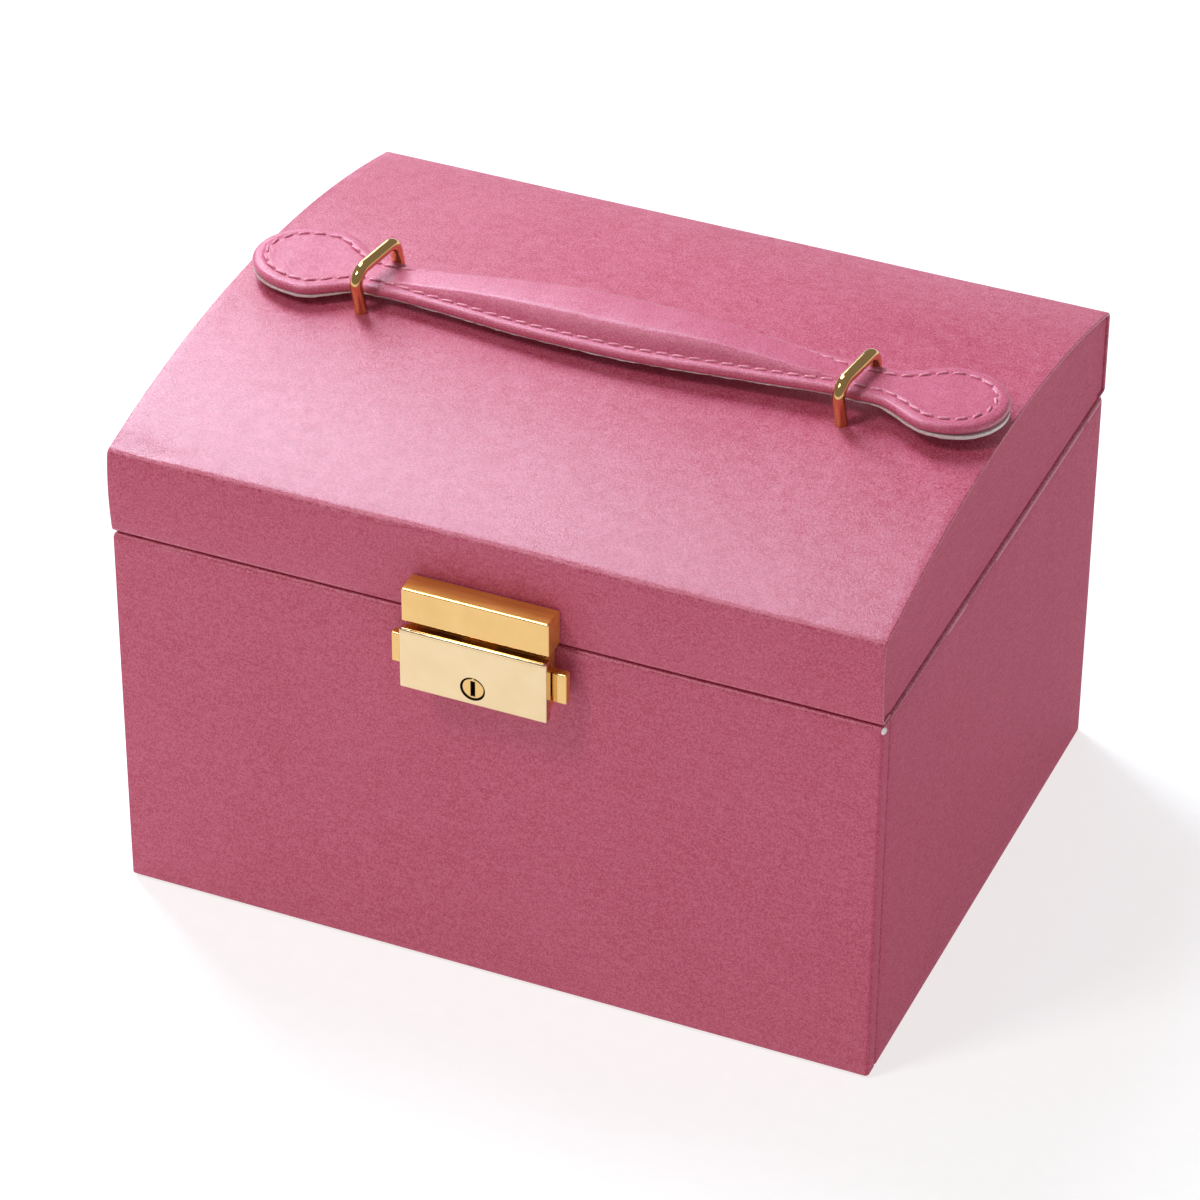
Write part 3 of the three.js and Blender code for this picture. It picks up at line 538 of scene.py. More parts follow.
def wall_section(bottom, top, flange):
    """A wall skin's section as (inset, height): outside face, rounded rim, flange and inside face."""
    half = SKIN / 2
    points = [(half, bottom)]
    points += [(half - half * sin(a), bottom + half - half * cos(a)) for a in quarter(3)]
    points += [(0, z) for z in steps(bottom + half, top - RIM_RADIUS, WALL_PITCH)]
    points += [(RIM_RADIUS * (1 - cos(a)), top - RIM_RADIUS * (1 - sin(a))) for a in quarter(5)]
    points += [(RIM_RADIUS, top), (flange - half, top)]
    points += [(flange - half + half * sin(a), top - half + half * cos(a)) for a in quarter(3)]
    points += [(flange, top - half), (flange - half, top - SKIN), (RIM_RADIUS, top - SKIN)]
    points += [(SKIN, top - RIM_RADIUS), (SKIN, bottom + half)]
    return points


def wall_plan(half_width, open_y, closed_y, corner, end_round):
    """Stations round three sides of the case. Each is a function from an inset to a point in plan."""
    sense = 1 if closed_y > open_y else -1

    def side(along, pull):
        def place(inset):
            depth = max(inset, pull)
            end = closed_y - sense * (depth + max(corner - depth, 0))
            return half_width - depth, open_y + (end - open_y) * along
        return place

    def bend(angle):
        def place(inset):
            radius = max(corner - inset, 0)
            centre_x, centre_y = half_width - inset - radius, closed_y - sense * (inset + radius)
            return centre_x + radius * cos(angle), centre_y + sense * radius * sin(angle)
        return place

    def face(along):
        return lambda inset: ((half_width - max(corner, inset)) * along, closed_y - sense * inset)

    def mirrored(place):
        return lambda inset: (-place(inset)[0], place(inset)[1])

    length = abs(closed_y - open_y)
    rounding = [(end_round * (1 - cos(a)) / length, end_round * (1 - sin(a))) for a in [0] + quarter(4)]
    straight = [(t, 0.0) for t in steps(end_round / length, 1.0, WALL_PITCH / length)]
    half = [side(along, pull) for along, pull in rounding + straight] + [bend(angle) for angle in quarter(6)]
    across = [face(t) for t in steps(-1, 1, WALL_PITCH / half_width)]
    return [mirrored(place) for place in half] + across + half[::-1]


def wall_skin(name, node, stations, flange, finish):
    low, high = extent(node)
    section = wall_section(low[2], high[2], flange)
    verts = []
    for place in stations:
        for inset, z in section:
            x, y = place(inset)
            if inset == 0:
                swell = 1 + bumps(x, y, z, 34, 0.07) / hypot(x, y)
                x, y = x * swell, y * swell
            verts.append((x, y, z))
    piece = make_object(name, *shell(verts, len(section)), finish)
    settle(piece, "case", "leatherette", node)
    return piece


def case_covers(front_finish, side_shade_finish, rim_highlight_finish):
    """Both covers of the body. Painted light by face direction: their folded top edges take the glossiest
    copy of the leatherette to catch a highlight line, and the front cover's corner faces take the near-matte
    copy, which keeps a pale reflection off them.
    """
    low, high = extent("front_cover")
    body_low, body_high = extent("body_cover")
    flange = high[1] - low[1] - FOLD_GAP
    front_plan = wall_plan(high[0], high[1], low[1], FRONT_CORNER, SKIN)
    body_plan = wall_plan(body_high[0], body_low[1], body_high[1], BACK_CORNER, SKIN)
    front = wall_skin("front_panel_cover", "front_cover", front_plan, flange, front_finish)
    body = wall_skin("side_and_back_cover", "body_cover", body_plan, flange, side_shade_finish)
    paint_faces(front, side_shade_finish, lambda normal: abs(normal.x) > 0.3)
    for skin in (front, body):
        paint_faces(skin, rim_highlight_finish, lambda normal: normal.z > 0.2)


def worn_corner(felt):
    """The covering has come away from the top of the right front corner and shows its backing."""
    low, high = extent("front_cover")
    sides, rings = 12, 9
    middle_x, y, middle_z = high[0] + 0.06, low[1] + 0.42, high[2] - 0.70
    verts = []
    for i in range(rings):
        angle = pi * (i + 0.5) / rings
        radius = WORN_RADIUS * sin(angle)
        height = -WORN_HALF * cos(angle)
        x, z = middle_x + WORN_LEAN * height, middle_z + height
        verts += [(x + radius * c, y + radius * s, z) for c, s in circle(sides)]
    piece = make_object("worn_corner", *shell(verts, sides), felt, 60)
    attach(piece, "case")


# Covers of the lid

# Dents round the loops' legs
LEG_DENT = 0.22
LEG_DENT_RADIUS = 2.4
LEG_DENT_FROM = 115

# The crease and the ridge beside it, at the left front of the lid
CREASE = 0.45
CREASE_PLACE = (-79, -66.5)
CREASE_SIZE = (5.5, 2.6)
RIDGE = 0.16
RIDGE_PLACE = (-73, -64)
RIDGE_MIDDLE = -76
RIDGE_SIZE = (8, 1.4)
RIDGE_SLOPE = 0.35
CREASE_FROM = 100


def arch_circle(half, crown):
    """Radius and middle height of the lid's arch."""
    radius = (half ** 2 + ARCH_RISE ** 2) / (2 * ARCH_RISE)
    return radius, crown - radius


def lid_outline(low, high):
    """The lid cover's outer line in YZ, hem to hem, as (y, z, normal y, normal z)."""
    half, crown, bottom = high[1], high[2], low[2]
    radius, centre_z = arch_circle(half, crown)
    fold_y = half - FOLD_RADIUS
    fold_z = centre_z + sqrt((radius - FOLD_RADIUS) ** 2 - fold_y ** 2)
    lean = atan2(fold_z - centre_z, fold_y)

    def arc(y, z, size, angles):
        return [(y + size * cos(a), z + size * sin(a), cos(a), sin(a)) for a in angles]

    points = [(half - HEM_DEPTH, bottom, 0, -1), (half - HEM_RADIUS, bottom, 0, -1)]
    points += arc(half - HEM_RADIUS, bottom + HEM_RADIUS, HEM_RADIUS, [a - pi / 2 for a in quarter(4)])
    points += [(half, z, 1, 0) for z in steps(bottom + HEM_RADIUS, fold_z, 1.6)]
    points += arc(fold_y, fold_z, FOLD_RADIUS, np.linspace(0, lean, 9)[1:-1])
    front = [(-y, z, -ny, nz) for y, z, ny, nz in points]
    return front + arc(0, centre_z, radius, np.linspace(lean, pi - lean, 92))[::-1] + points[::-1]


def lid_surface(x, y, z):
    """How far the lid's covering stands off its ideal surface, along the normal."""
    stand = bumps(x, y, z, 36, 0.10) + bumps(x + 50, y, z, 11, 0.025)
    if z > LEG_DENT_FROM:
        for side in (-1, 1):
            for leg_y in LEG_PLACES:
                reach = hypot(x - side * LOOP_X - LOOP_TWIST * (leg_y - LOOP_MIDDLE), y - leg_y)
                stand -= LEG_DENT * exp(-(reach / LEG_DENT_RADIUS) ** 2)
    if z > CREASE_FROM:
        crease = hypot((x - CREASE_PLACE[0]) / CREASE_SIZE[0], (y - CREASE_PLACE[1]) / CREASE_SIZE[1])
        across = ((x - RIDGE_PLACE[0]) * RIDGE_SLOPE - (y - RIDGE_PLACE[1])) / RIDGE_SIZE[1]
        along = (x - RIDGE_MIDDLE) / RIDGE_SIZE[0]
        stand += RIDGE * exp(-across ** 2 - along ** 2) - CREASE * exp(-crease ** 2)
    return stand


def lid_cover(finish, band_shade_finish):
    """One sheet over the lid. Its front band bows out a little, except where the lock holds it."""
    low, high = extent("lid_cover")
    half = SKIN / 2
    inner_x = steps(high[0] - half, low[0] + half, 22)
    section = [(x, 0.0) for x in steps(low[0] + half, high[0] - half, 1.9)]
    edge = [(high[0] - half * (1 - sin(a)), half * (1 - cos(a))) for a in (pi / 6 * k for k in range(1, 6))]
    section += edge + [(x, SKIN) for x in inner_x] + [(-x, SKIN - depth) for x, depth in edge]
    path = lid_outline(low, high)
    verts = []
    for y, z, ny, nz in path:
        height = min((z - low[2]) / (high[2] - LID_BOW_BELOW - low[2]), 1)
        bow = LID_BOW * sin(pi * height) * smoothstep((-ny - 0.3) / 0.6)
        for x, depth in section:
            lift = bow * (1 - exp(-(x / LOCK_HOLD) ** 4)) + (lid_surface(x, y, z) if depth == 0 else 0)
            verts.append((x, y + ny * (lift - depth), z + nz * (lift - depth)))
    piece = make_object("lid_top_cover", *shell(verts, len(section)), finish)
    # Painted shade: the front and back band faces take the less glossy front copy.
    paint_faces(piece, band_shade_finish, lambda normal: abs(normal.y) > 0.96)
    settle(piece, "lid", "leatherette", "lid_cover")


def gusset_cover(side, sign, finish):
    """End cover of the lid: a plate with rounded edges, and its hem turned under the board."""
    node = side + "_gusset_cover"
    low, high = extent(node)
    lid_high = extent("lid_cover")[1]
    half = high[1]
    radius, centre_z = arch_circle(lid_high[1], lid_high[2])
    radius -= lid_high[1] - half

    def outline(inset):
        across, base = (half - inset) * steps(-1, 1, 3.4 / half), low[2] + inset
        top = [(y, centre_z + sqrt((radius - inset) ** 2 - y ** 2)) for y in across]
        return [(across[0], base), *top, *((y, base) for y in across[:0:-1])]

    outer, inner = (high[0], low[0]) if sign > 0 else (low[0], high[0])
    rings = [(GUSSET_EDGE * (1 - sin(a)), outer - sign * GUSSET_EDGE * (1 - cos(a)))
             for a in [0] + quarter(4) + [pi / 2]]
    rings = [(GUSSET_EDGE * 1.6, outer - sign * 0.02), *rings, (0.0, inner)]
    verts = [(x, y, z) for inset, x in rings for y, z in outline(inset)]
    plate = make_object(node + "_plate", *shell(verts, len(outline(0))), finish)
    hem_low, hem_high = sorted((inner, extent(side + "_gusset_board")[int(sign < 0)][0]))
    hem = rounded_box(node + "_hem", (hem_low, FOLD_GAP - half, low[2]),
                      (hem_high, half - FOLD_GAP, low[2] + SKIN - FOLD_GAP), 0.25, finish)
    settle(join(side + "_end_cover", plate, hem), "lid", "leatherette", node)


# Handle

CAD_LOW, CAD_HIGH = extent("strap_left_end")
STRAP_Y = (CAD_LOW[1] + CAD_HIGH[1]) / 2
STRAP_BASE = CAD_LOW[2]
STRAP_LEFT = CAD_LOW[0] + 1.4
STRAP_RIGHT = extent("strap_right_end")[1][0] + 0.6
PADDLE_HALF = (CAD_HIGH[1] - CAD_LOW[1]) / 2
NECK_HALF = 6.2
BELLY_HALF = 10.5
# Paddles: where each starts to widen, is at its full width and ends, and its half width
LEFT_PADDLE = (57.0, 70.0, -STRAP_LEFT, PADDLE_HALF + 0.6)
RIGHT_PADDLE = (60.5, 74.0, STRAP_RIGHT, PADDLE_HALF)
STRAP_PLACES = (-87.0, -55.0, -28.0, 0.0, 28.0, 55.0, 88.0)
STRAP_LIFTS = (1.6, 1.6, 1.6, 2.0, 2.6, 3.4, 3.4)
STRAP_DRIFTS = (-0.2, -0.8, 0.0, 0.3, 0.2, -0.8, 0.2)
LOOP_LOW, LOOP_HIGH = extent("right_loop")
LOOP_X = (LOOP_LOW[0] + LOOP_HIGH[0]) / 2
LOOP_BEND = 3.4
LEG_PLACES = (LOOP_LOW[1] + LOOP_LEAN + WIRE_RADIUS - 1.1, LOOP_HIGH[1] - WIRE_RADIUS - 0.3)
LOOP_MIDDLE = (LEG_PLACES[0] + LEG_PLACES[1]) / 2

# Stations across the strap: on its rim, and round the stitches; then evenly to the middle line
RIM_STEPS = (0, 0.12, 0.3, 0.55, 0.85, 1.2)
STITCH_STEPS = (-0.6, -0.4, -0.2, 0, 0.2, 0.4, 0.6, 0.85, 1.15, 1.5, 1.9, 2.35, 2.9)
INNER_STEPS = 6

# Strap pieces: name, both cuts, both bodies, the bend's middle and half length, the nodes they stand for
SEGMENTS = (
    ("left", STRAP_LEFT, -SEAM_X, "lid", "strap_left", -END_BEND_X, END_BEND_HALF, ["strap_left_end"]),
    ("middle", -SEAM_X, SEAM_X, "strap_left", "strap_right", 0.0, MIDDLE_BEND_HALF,
     ["strap_left_half", "strap_right_half"]),
    ("right", SEAM_X, STRAP_RIGHT, "strap_right", "strap_end", END_BEND_X, END_BEND_HALF,
     ["strap_right_end"]),
)


def strap_half_width(x):
    flare, full, end, widest = RIGHT_PADDLE if x > 0 else LEFT_PADDLE
    reach = abs(x)
    if reach <= END_BEND_X:
        belly = (1 + cos(pi * reach / END_BEND_X)) / 2
        return NECK_HALF + (BELLY_HALF - NECK_HALF) * belly ** 0.6
    width = NECK_HALF + (widest - NECK_HALF) * smoothstep((reach - flare) / (full - flare))
    if reach > full:
        width *= max(1 - ((reach - full) / (end - full)) ** 2.3, 0.0) ** 0.5
    return width


def eased(x, places, values):
    """Reads a smooth curve through the given places."""
    after = min(max(int(np.searchsorted(places, x)), 1), len(places) - 1)
    start, end = places[after - 1], places[after]
    return values[after - 1] + (values[after] - values[after - 1]) * smoothstep((x - start) / (end - start))


def strap_base(x):
    """Height of the strap's lower face: it stands off the lid, more at its free right end."""
    return STRAP_BASE + 0.5 + eased(x, STRAP_PLACES, STRAP_LIFTS)


def strap_middle(x):
    """Y of the strap's middle line, which wanders a little in its loops."""
    return STRAP_Y + eased(x, STRAP_PLACES, STRAP_DRIFTS)


def grip_share(x):
    """0 on the flat ends, 1 on the padded grip."""
    return sin(pi / 2 * min(max((END_BEND_X + 3 - abs(x)) / 45, 0), 1))


def stitch_inset(x):
    narrow = smoothstep((END_BEND_X + 4 - abs(x)) / 10)
    return PADDLE_INSET + (GRIP_INSET - PADDLE_INSET) * narrow


def strap_stations():
    """Stations along X, closer together towards the two round ends."""
    def tip(full, end):
        return end - (end - full) * (1 - np.sin(np.linspace(0, pi / 2, 22)))

    left, right = tip(*LEFT_PADDLE[1:3]), tip(*RIGHT_PADDLE[1:3])
    return [*-left[:0:-1], *steps(-left[0], right[0], 0.8)[:-1], *right]


def strap_outline(stations):
    near = [(x, -strap_half_width(x)) for x in stations]
    return np.array(near + [(x, -y) for x, y in near[::-1][1:-1]])


def edge_distance(points, outline):
    """Shortest distance from each plan point to the strap's outline."""
    run = np.roll(outline, -1, axis=0) - outline
    length = np.maximum((run ** 2).sum(1), 1e-12)

    def nearest(point):
        along = np.clip(((point - outline) * run).sum(1) / length, 0, 1)
        return sqrt(((point - outline - along[:, None] * run) ** 2).sum(1).min())

    return np.array([nearest(point) for point in points])


def strap_height(x, y, distance):
    """Height of the strap's upper face over its lower one: rim, stitch groove and padding."""
    if distance < STRAP_EDGE:
        fall = 1 - distance / STRAP_EDGE
        return STRAP_EDGE * (1 + sqrt(max(1 - fall ** 2, 0)))
    inset = stitch_inset(x)
    edge = 2 * STRAP_EDGE + RIM_BEAD * smoothstep((distance - STRAP_EDGE) / 0.8)
    groove = GROOVE_DEPTH * exp(-((distance - inset) / GROOVE_WIDTH) ** 2)
    inner = max(distance - inset - 0.25, 0)
    grip = grip_share(x)
    room = max(strap_half_width(x) - inset, 0.5)
    flank = min(0.5 + (GRIP_FLANK - 0.5) * grip, room * 0.75)
    climb = min(inner / flank, 1)
    loaf = GRIP_RISE * grip * sin(pi / 2 * climb) + GRIP_CROWN * grip * smoothstep(inner / room)
    wrinkle = bumps(x, y * 0.5, 0, 6.5, 0.10) * smoothstep(inner / 1.5)
    wrinkle += bumps(x, y, 9, 2.6, 0.05) * smoothstep(distance / 0.6) * (1 - grip)
    return edge - groove + loaf + wrinkle


def cuts(low_x, high_x, stations):
    return sorted({low_x, high_x} | {x for x in stations if low_x < x < high_x})


def strap_section(x):
    """Plan points straight across the strap, closer together at the rim and the stitches."""
    width = strap_half_width(x)
    insets = [*RIM_STEPS, *(stitch_inset(x) + step for step in STITCH_STEPS)]
    squeeze = min(1.0, width / (insets[-1] + 0.4))
    insets = [inset * squeeze for inset in insets]
    insets += list(np.linspace(insets[-1], width, INNER_STEPS + 1)[1:])
    near = [(x, -width + inset) for inset in insets]
    return near + [(x, -y) for _, y in near[::-1][1:]]


def strap_segment(low_x, high_x, stations, outline):
    """Closed shell of the padded strap between two cuts across it."""
    rings = [strap_section(x) for x in cuts(low_x, high_x, stations)]
    points = np.array([point for ring in rings for point in ring])
    distances = edge_distance(points, outline).reshape(len(rings), -1)
    verts = []
    for ring, row in zip(rings, distances):
        upper, lower = [], []
        base, middle = strap_base(ring[0][0]), strap_middle(ring[0][0])
        for (x, y), distance in zip(ring, row):
            upper.append((x, middle + y, base + strap_height(x, y, distance)))
            fall = max(1 - distance / STRAP_EDGE, 0)
            under = STRAP_EDGE * (1 - sqrt(max(1 - fall ** 2, 0)))
            lower.append((x, middle + y, base + under))
        verts += upper + lower[::-1][1:-1]
    return shell(verts, len(rings[0]) * 2 - 2)


def backing_segment(low_x, high_x, stations):
    """Thin backing sheet: a loose lip under the paddles, a ragged line along the grip."""
    verts = []
    for x in cuts(low_x, high_x, stations):
        paddle = smoothstep((abs(x) - END_BEND_X - 6) / 12)
        droop = LIP_DROOP * smoothstep((x - 68) / 16)
        top = strap_base(x) + 0.14 - droop
        bottom = top - 0.26 - 0.34 * paddle - 0.3 * droop
        reach = strap_half_width(x) - 0.42 + 0.26 * paddle
        fine = 0.34 - 0.16 * paddle
        near, far = (max(reach + bumps(x, row, 3, 1.4, fine) + bumps(x, row, 7, 5, 0.24), 0.02)
                     for row in (0, 9))
        waist = (bottom + top) / 2
        ring = [(0.1 - near, bottom), (far - 0.1, bottom), (far, waist),
                (far - 0.05, top), (0.05 - near, top), (-near, waist)]
        verts += [(x, strap_middle(x) + y, z) for y, z in ring]
    return shell(verts, len(ring))


def stitch_line(outline):
    """The sewing line, which is the outline moved inwards, and how far along it each point lies."""
    tangent = np.roll(outline, -1, axis=0) - np.roll(outline, 1, axis=0)
    tangent /= np.linalg.norm(tangent, axis=1)[:, None]
    inward = np.stack([-tangent[:, 1], tangent[:, 0]], axis=1)
    insets = np.array([stitch_inset(x) for x, _ in outline])
    line = outline + inward * insets[:, None]
    line = line[edge_distance(line, outline) > insets - 0.08]
    closed = np.vstack([line, line[:1]])
    lengths = np.concatenate([[0], np.cumsum(np.linalg.norm(np.diff(closed, axis=0), axis=1))])
    return closed, lengths


def one_stitch(start, end, height, rng):
    """A short thread capsule that dips into the leather at both ends."""
    rings, sides = 11, 8
    run = end - start
    length = np.linalg.norm(run)
    run = run / length
    cross = np.array([-run[1], run[0]])
    slope = STITCH_SLOPE + rng.uniform(-0.04, 0.04)
    verts = []
    for i in range(rings):
        t = i / (rings - 1)
        girth = THREAD_RADIUS * sqrt(max(1 - (2 * t - 1) ** 8, 0.04))
        centre = start + run * length * t + cross * slope * (2 * t - 1) * length
        rise = 0.30 - 0.62 * (2 * t - 1) ** 6
        for c, s in circle(sides):
            x, y = centre + cross * girth * c
            verts.append((x, y, height + rise + girth * s))
    return shell(verts, sides)


def stitches(low_x, high_x, line, lengths):
    """The stitches whose middle lies between two cuts across the strap."""
    rng = random.Random(7)
    verts, faces = [], []
    count = int(lengths[-1] / STITCH_PITCH)
    pitch = lengths[-1] / count
    for i in range(count):
        start, end = (np.array([np.interp((i + share) * pitch, lengths, line[:, axis]) for axis in (0, 1)])
                      for share in (0, STITCH_SHARE))
        x, y = (start + end) / 2
        if not low_x <= x < high_x:
            continue
        height = strap_base(x) + strap_height(x, y, stitch_inset(x))
        for point in (start, end):
            point[1] += strap_middle(point[0])
        append_shell(verts, faces, *one_stitch(start, end, height, rng))
    return verts, faces


def strap(leather, felt, sewing):
    stations = strap_stations()
    outline = strap_outline(stations)
    line, lengths = stitch_line(outline)
    for name, low_x, high_x, first, second, bend, half, nodes in SEGMENTS:
        body = make_object(f"strap_{name}", *strap_segment(low_x, high_x, stations, outline), leather, 60)
        backing = make_object(f"strap_{name}_backing", *backing_segment(low_x, high_x, stations), felt)
        sewn = make_object(f"strap_{name}_stitches", *stitches(low_x, high_x, line, lengths), sewing)
        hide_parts(*nodes)
        for piece in (body, backing, sewn):
            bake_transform(piece)


def tube(name, path, radius, finish, sides=24):
    """A round rod along a path that keeps close to a YZ plane."""
    verts = []
    for i, (x, y, z) in enumerate(path):
        before, after = path[max(i - 1, 0)], path[min(i + 1, len(path) - 1)]
        run = Vector((0, after[1] - before[1], after[2] - before[2])).normalized()
        verts += [(x + radius * c, y - run.z * radius * s, z + run.y * radius * s) for c, s in circle(sides)]
    return make_object(name, *shell(verts, sides), finish)


def loop_path(x):
    """Middle line of a wire loop: two legs that lean forward over the lid, and a bar between them."""
    crown = extent("lid_cover")[1][2]
    top, foot = LOOP_HIGH[2] - WIRE_RADIUS, crown + 0.4
    rise = top - LOOP_BEND - foot
    round_off = [(LOOP_BEND * (1 - cos(a)), LOOP_BEND * (1 - sin(a))) for a in quarter(7)]

    def leg(y, inward):
        path = [(y, LOOP_LOW[2]), (y, crown - 0.6), (y - 0.05, foot)]
        path += [(y - LOOP_LEAN * t, foot + rise * t) for t in (0.33, 0.66, 1.0)]
        return path + [(y - LOOP_LEAN + inward * across, top - fall) for across, fall in round_off]

    front, back = LEG_PLACES
    bar = steps(front - LOOP_LEAN + LOOP_BEND, back - LOOP_LEAN - LOOP_BEND, 1.5)
    path = leg(front, 1) + [(y, top) for y in bar] + leg(back, -1)[::-1]
    return [(x + LOOP_TWIST * (y - LOOP_MIDDLE), y, z) for y, z in path]


def loops(gold):
    for side, sign in (("left", -1), ("right", 1)):
        wire = tube(side + "_wire_loop", loop_path(sign * LOOP_X), WIRE_RADIUS, gold)
        settle(wire, "lid", "gold_trim", side + "_loop")


# Lock

TONGUE_HALF = 4
TONGUE_GAP = 1.0
TONGUE_THICK = 1.9
PLATE_BEAD = 0.58
PLATE_TOP = 0.3
ROLL_INSET = 0.25
KEY_GAP = 0.35
KEY_SLOT_HALF = (0.55, 1.9)
KEY_SLOT_DEPTH = 3.2
KEY_RIM = 0.3


def paint_shaded_sides(piece, side_shade_gold):
    """Front faces stay polished; faces that look up or sideways get the darker gold with painted shade."""
    paint_faces(piece, side_shade_gold, lambda normal: normal.y >= -0.35)


def lathe(name, x, z, profile, finish, sides=48):
    """A round piece along Y, from its places and radii."""
    verts = [(x + size * c, y, z + size * s) for y, size in profile for c, s in circle(sides)]
    return make_object(name, *shell(verts, sides), finish)


def rolled_edge(name, x0, x1, y, z, radius, finish, sides=24):
    """A bar along X with rounded ends."""
    start = [(x0 + 0.5 * (1 - cos(a)), radius - 0.35 + 0.35 * sin(a)) for a in [0] + quarter(4)]
    start.append((x0 + 0.5, radius))
    rings = start + [(x0 + x1 - x, size) for x, size in start[::-1]]
    verts = [(x, y + size * c, z + size * s) for x, size in rings for c, s in circle(sides)]
    return make_object(name, *shell(verts, sides), finish)


def hasp(polished, side_shade_gold):
    """Block on the lid's front, and its tongue that reaches down into the lock case."""
    low, high = extent("hasp")
    top = extent("lid_cover")[0][2] + 0.8
    block = rounded_box("hasp_block", (low[0], low[1], top), high, 0.45, polished, 5)
    paint_shaded_sides(block, side_shade_gold)
    near = extent("lock_case")[0][1] + TONGUE_GAP
    tongue = rounded_box("hasp_tongue", (-TONGUE_HALF, near, low[2]),
                         (TONGUE_HALF, near + TONGUE_THICK, top + 0.5), 0.2, side_shade_gold)
    settle(join("hasp_plate", block, tongue), "lid", "gold_trim", "hasp")


def lock_plate(pale, polished, dark):
    """Front plate with a rolled upper edge, a round hole, and the slotted key barrel in it."""
    low, high = extent("lock_front_plate")
    face = low[1] + PLATE_BEAD
    plate = rounded_box("plate", (low[0], face, low[2]), (high[0], high[1], high[2] - PLATE_TOP), 0.3, pale)
    key_low, key_high = extent("key_cylinder")
    (x, _, z), radius = (key_low + key_high) / 2, (key_high[0] - key_low[0]) / 2
    hole = [(low[1] - 2, radius + KEY_GAP), (high[1] + 2, radius + KEY_GAP)]
    # The hole's wall takes the tool's near-black painted shade.
    cut_out(plate, lathe("hole", x, z, hole, dark))
    roll = rolled_edge("roll", low[0] + ROLL_INSET, high[0] - ROLL_INSET, face + ROLL_INSET,
                       high[2] - PLATE_BEAD, PLATE_BEAD, pale)
    settle(join("lock_plate", plate, roll), "case", "gold_trim", "lock_front_plate")

    front = face + 0.15
    profile = [(front + KEY_RIM * (1 - cos(a)), radius - KEY_RIM * (1 - sin(a))) for a in [0] + quarter(4)]
    profile += [(front + KEY_RIM, radius), (key_high[1], radius)]
    barrel = lathe("lock_barrel", x, z, profile, polished)
    across, up = KEY_SLOT_HALF
    slot = box_mesh((x - across, low[1] - 1, z - up), (x + across, low[1] + KEY_SLOT_DEPTH, z + up))
    # The slot's walls take the near-black painted shade.
    cut_out(barrel, make_object("slot", *slot, dark))
    settle(barrel, "key", "gold_trim", "key_cylinder")


def lock(polished, pale, side_shade_gold, dark):
    hasp(polished, side_shade_gold)
    lock_plate(pale, polished, dark)
    # The whole lock case takes the darker gold with painted shade.
    refine("lock_case", "case", "gold_trim", side_shade_gold, 0.25)
    for side in ("left", "right"):
        tab = rounded_box(side + "_release_tab", *extent(side + "_button"), 0.35, polished)
        paint_shaded_sides(tab, side_shade_gold)
        settle(tab, side + "_button", "gold_trim", side + "_button")


# Back hinges

RIVET_HEAD = 1.1
RIVET_SHANK = 1.0
RIVET_TIP = 0.02


def hinges(gold, steel):
    for side in ("left", "right"):
        for body in ("case", "lid"):
            refine(f"{side}_hinge_{body}_leaf", body, "gold_trim", gold, 0.15)
        refine(side + "_hinge_pin", "case", "steel", steel, 0.2)
        for body in ("case", "lid"):
            for end in ("inner", "outer"):
                rivet(f"{side}_hinge_{body}_{end}_rivet", body, gold)


def rivet(node, body, gold):
    """Shank through the wall, with a domed head at the back."""
    low, high = extent(node)
    head, neck = (high[0] - low[0]) / 2, high[1] - RIVET_HEAD
    profile = [(low[1], RIVET_TIP), (low[1], RIVET_SHANK), (neck, RIVET_SHANK), (neck, head)]
    profile += [(neck + RIVET_HEAD * sin(angle), head * cos(angle)) for angle in quarter(8)]
    profile.append((high[1], RIVET_TIP))
    piece = lathe(node + "_dome", (low[0] + high[0]) / 2, (low[2] + high[2]) / 2, profile, gold, 32)
    settle(piece, body, "gold_trim", node)


# Inside

TAB_CORNER = 4.0
MIRROR_LIP = 0.2
BEAD_HEIGHT = 1.0
ROLL_COUNT = 4
ROLL_GAP = 0.15
ROLL_END = 1.6
PAD_ROOM = 0.15


def pad(name, node, body, finish, crown, edge):
    """A soft flat pad: its top crowns towards the middle and rolls over at the edges."""
    low, high = extent(node)
    rim = edge * (1 - np.cos(np.linspace(0, pi / 2, 6)))
    xs, ys = (np.concatenate([low[axis] + rim, steps(low[axis] + edge, high[axis] - edge, 4)[1:-1],
                              (high[axis] - rim)[::-1]]) for axis in (0, 1))
    thick = high[2] - low[2] - crown - PAD_ROOM
    verts = []
    for x in xs:
        for y in ys:
            gap = min(x - low[0], high[0] - x, y - low[1], high[1] - y)
            roll = sqrt(max(1 - (1 - min(gap / edge, 1)) ** 2, 0))
            bow = sin(pi * (x - low[0]) / (high[0] - low[0])) * sin(pi * (y - low[1]) / (high[1] - low[1]))
            swell = crown * bow + bumps(x, y, 0, 14, 0.12) * roll
            verts.append((x, y, low[2] + thick * (0.25 + 0.75 * roll) + swell))
    count = len(verts)
    verts += [(x, y, low[2]) for x, y, z in verts]
    grid = np.arange(count).reshape(len(xs), len(ys))
    faces = []
    for a, b in zip(grid[:-1, :-1].ravel().tolist(), grid[1:, :-1].ravel().tolist()):
        faces.append((a, b, b + 1, a + 1))
        faces.append((count + a, count + a + 1, count + b + 1, count + b))
    border = np.concatenate([grid[:, 0], grid[-1, 1:], grid[-2::-1, -1], grid[0, -2:0:-1]]).tolist()
    faces += [(a, count + a, count + b, b) for a, b in zip(border, border[1:] + border[:1])]
    piece = make_object(name, verts, faces, finish, 60)
    settle(piece, body, "velvet", node)


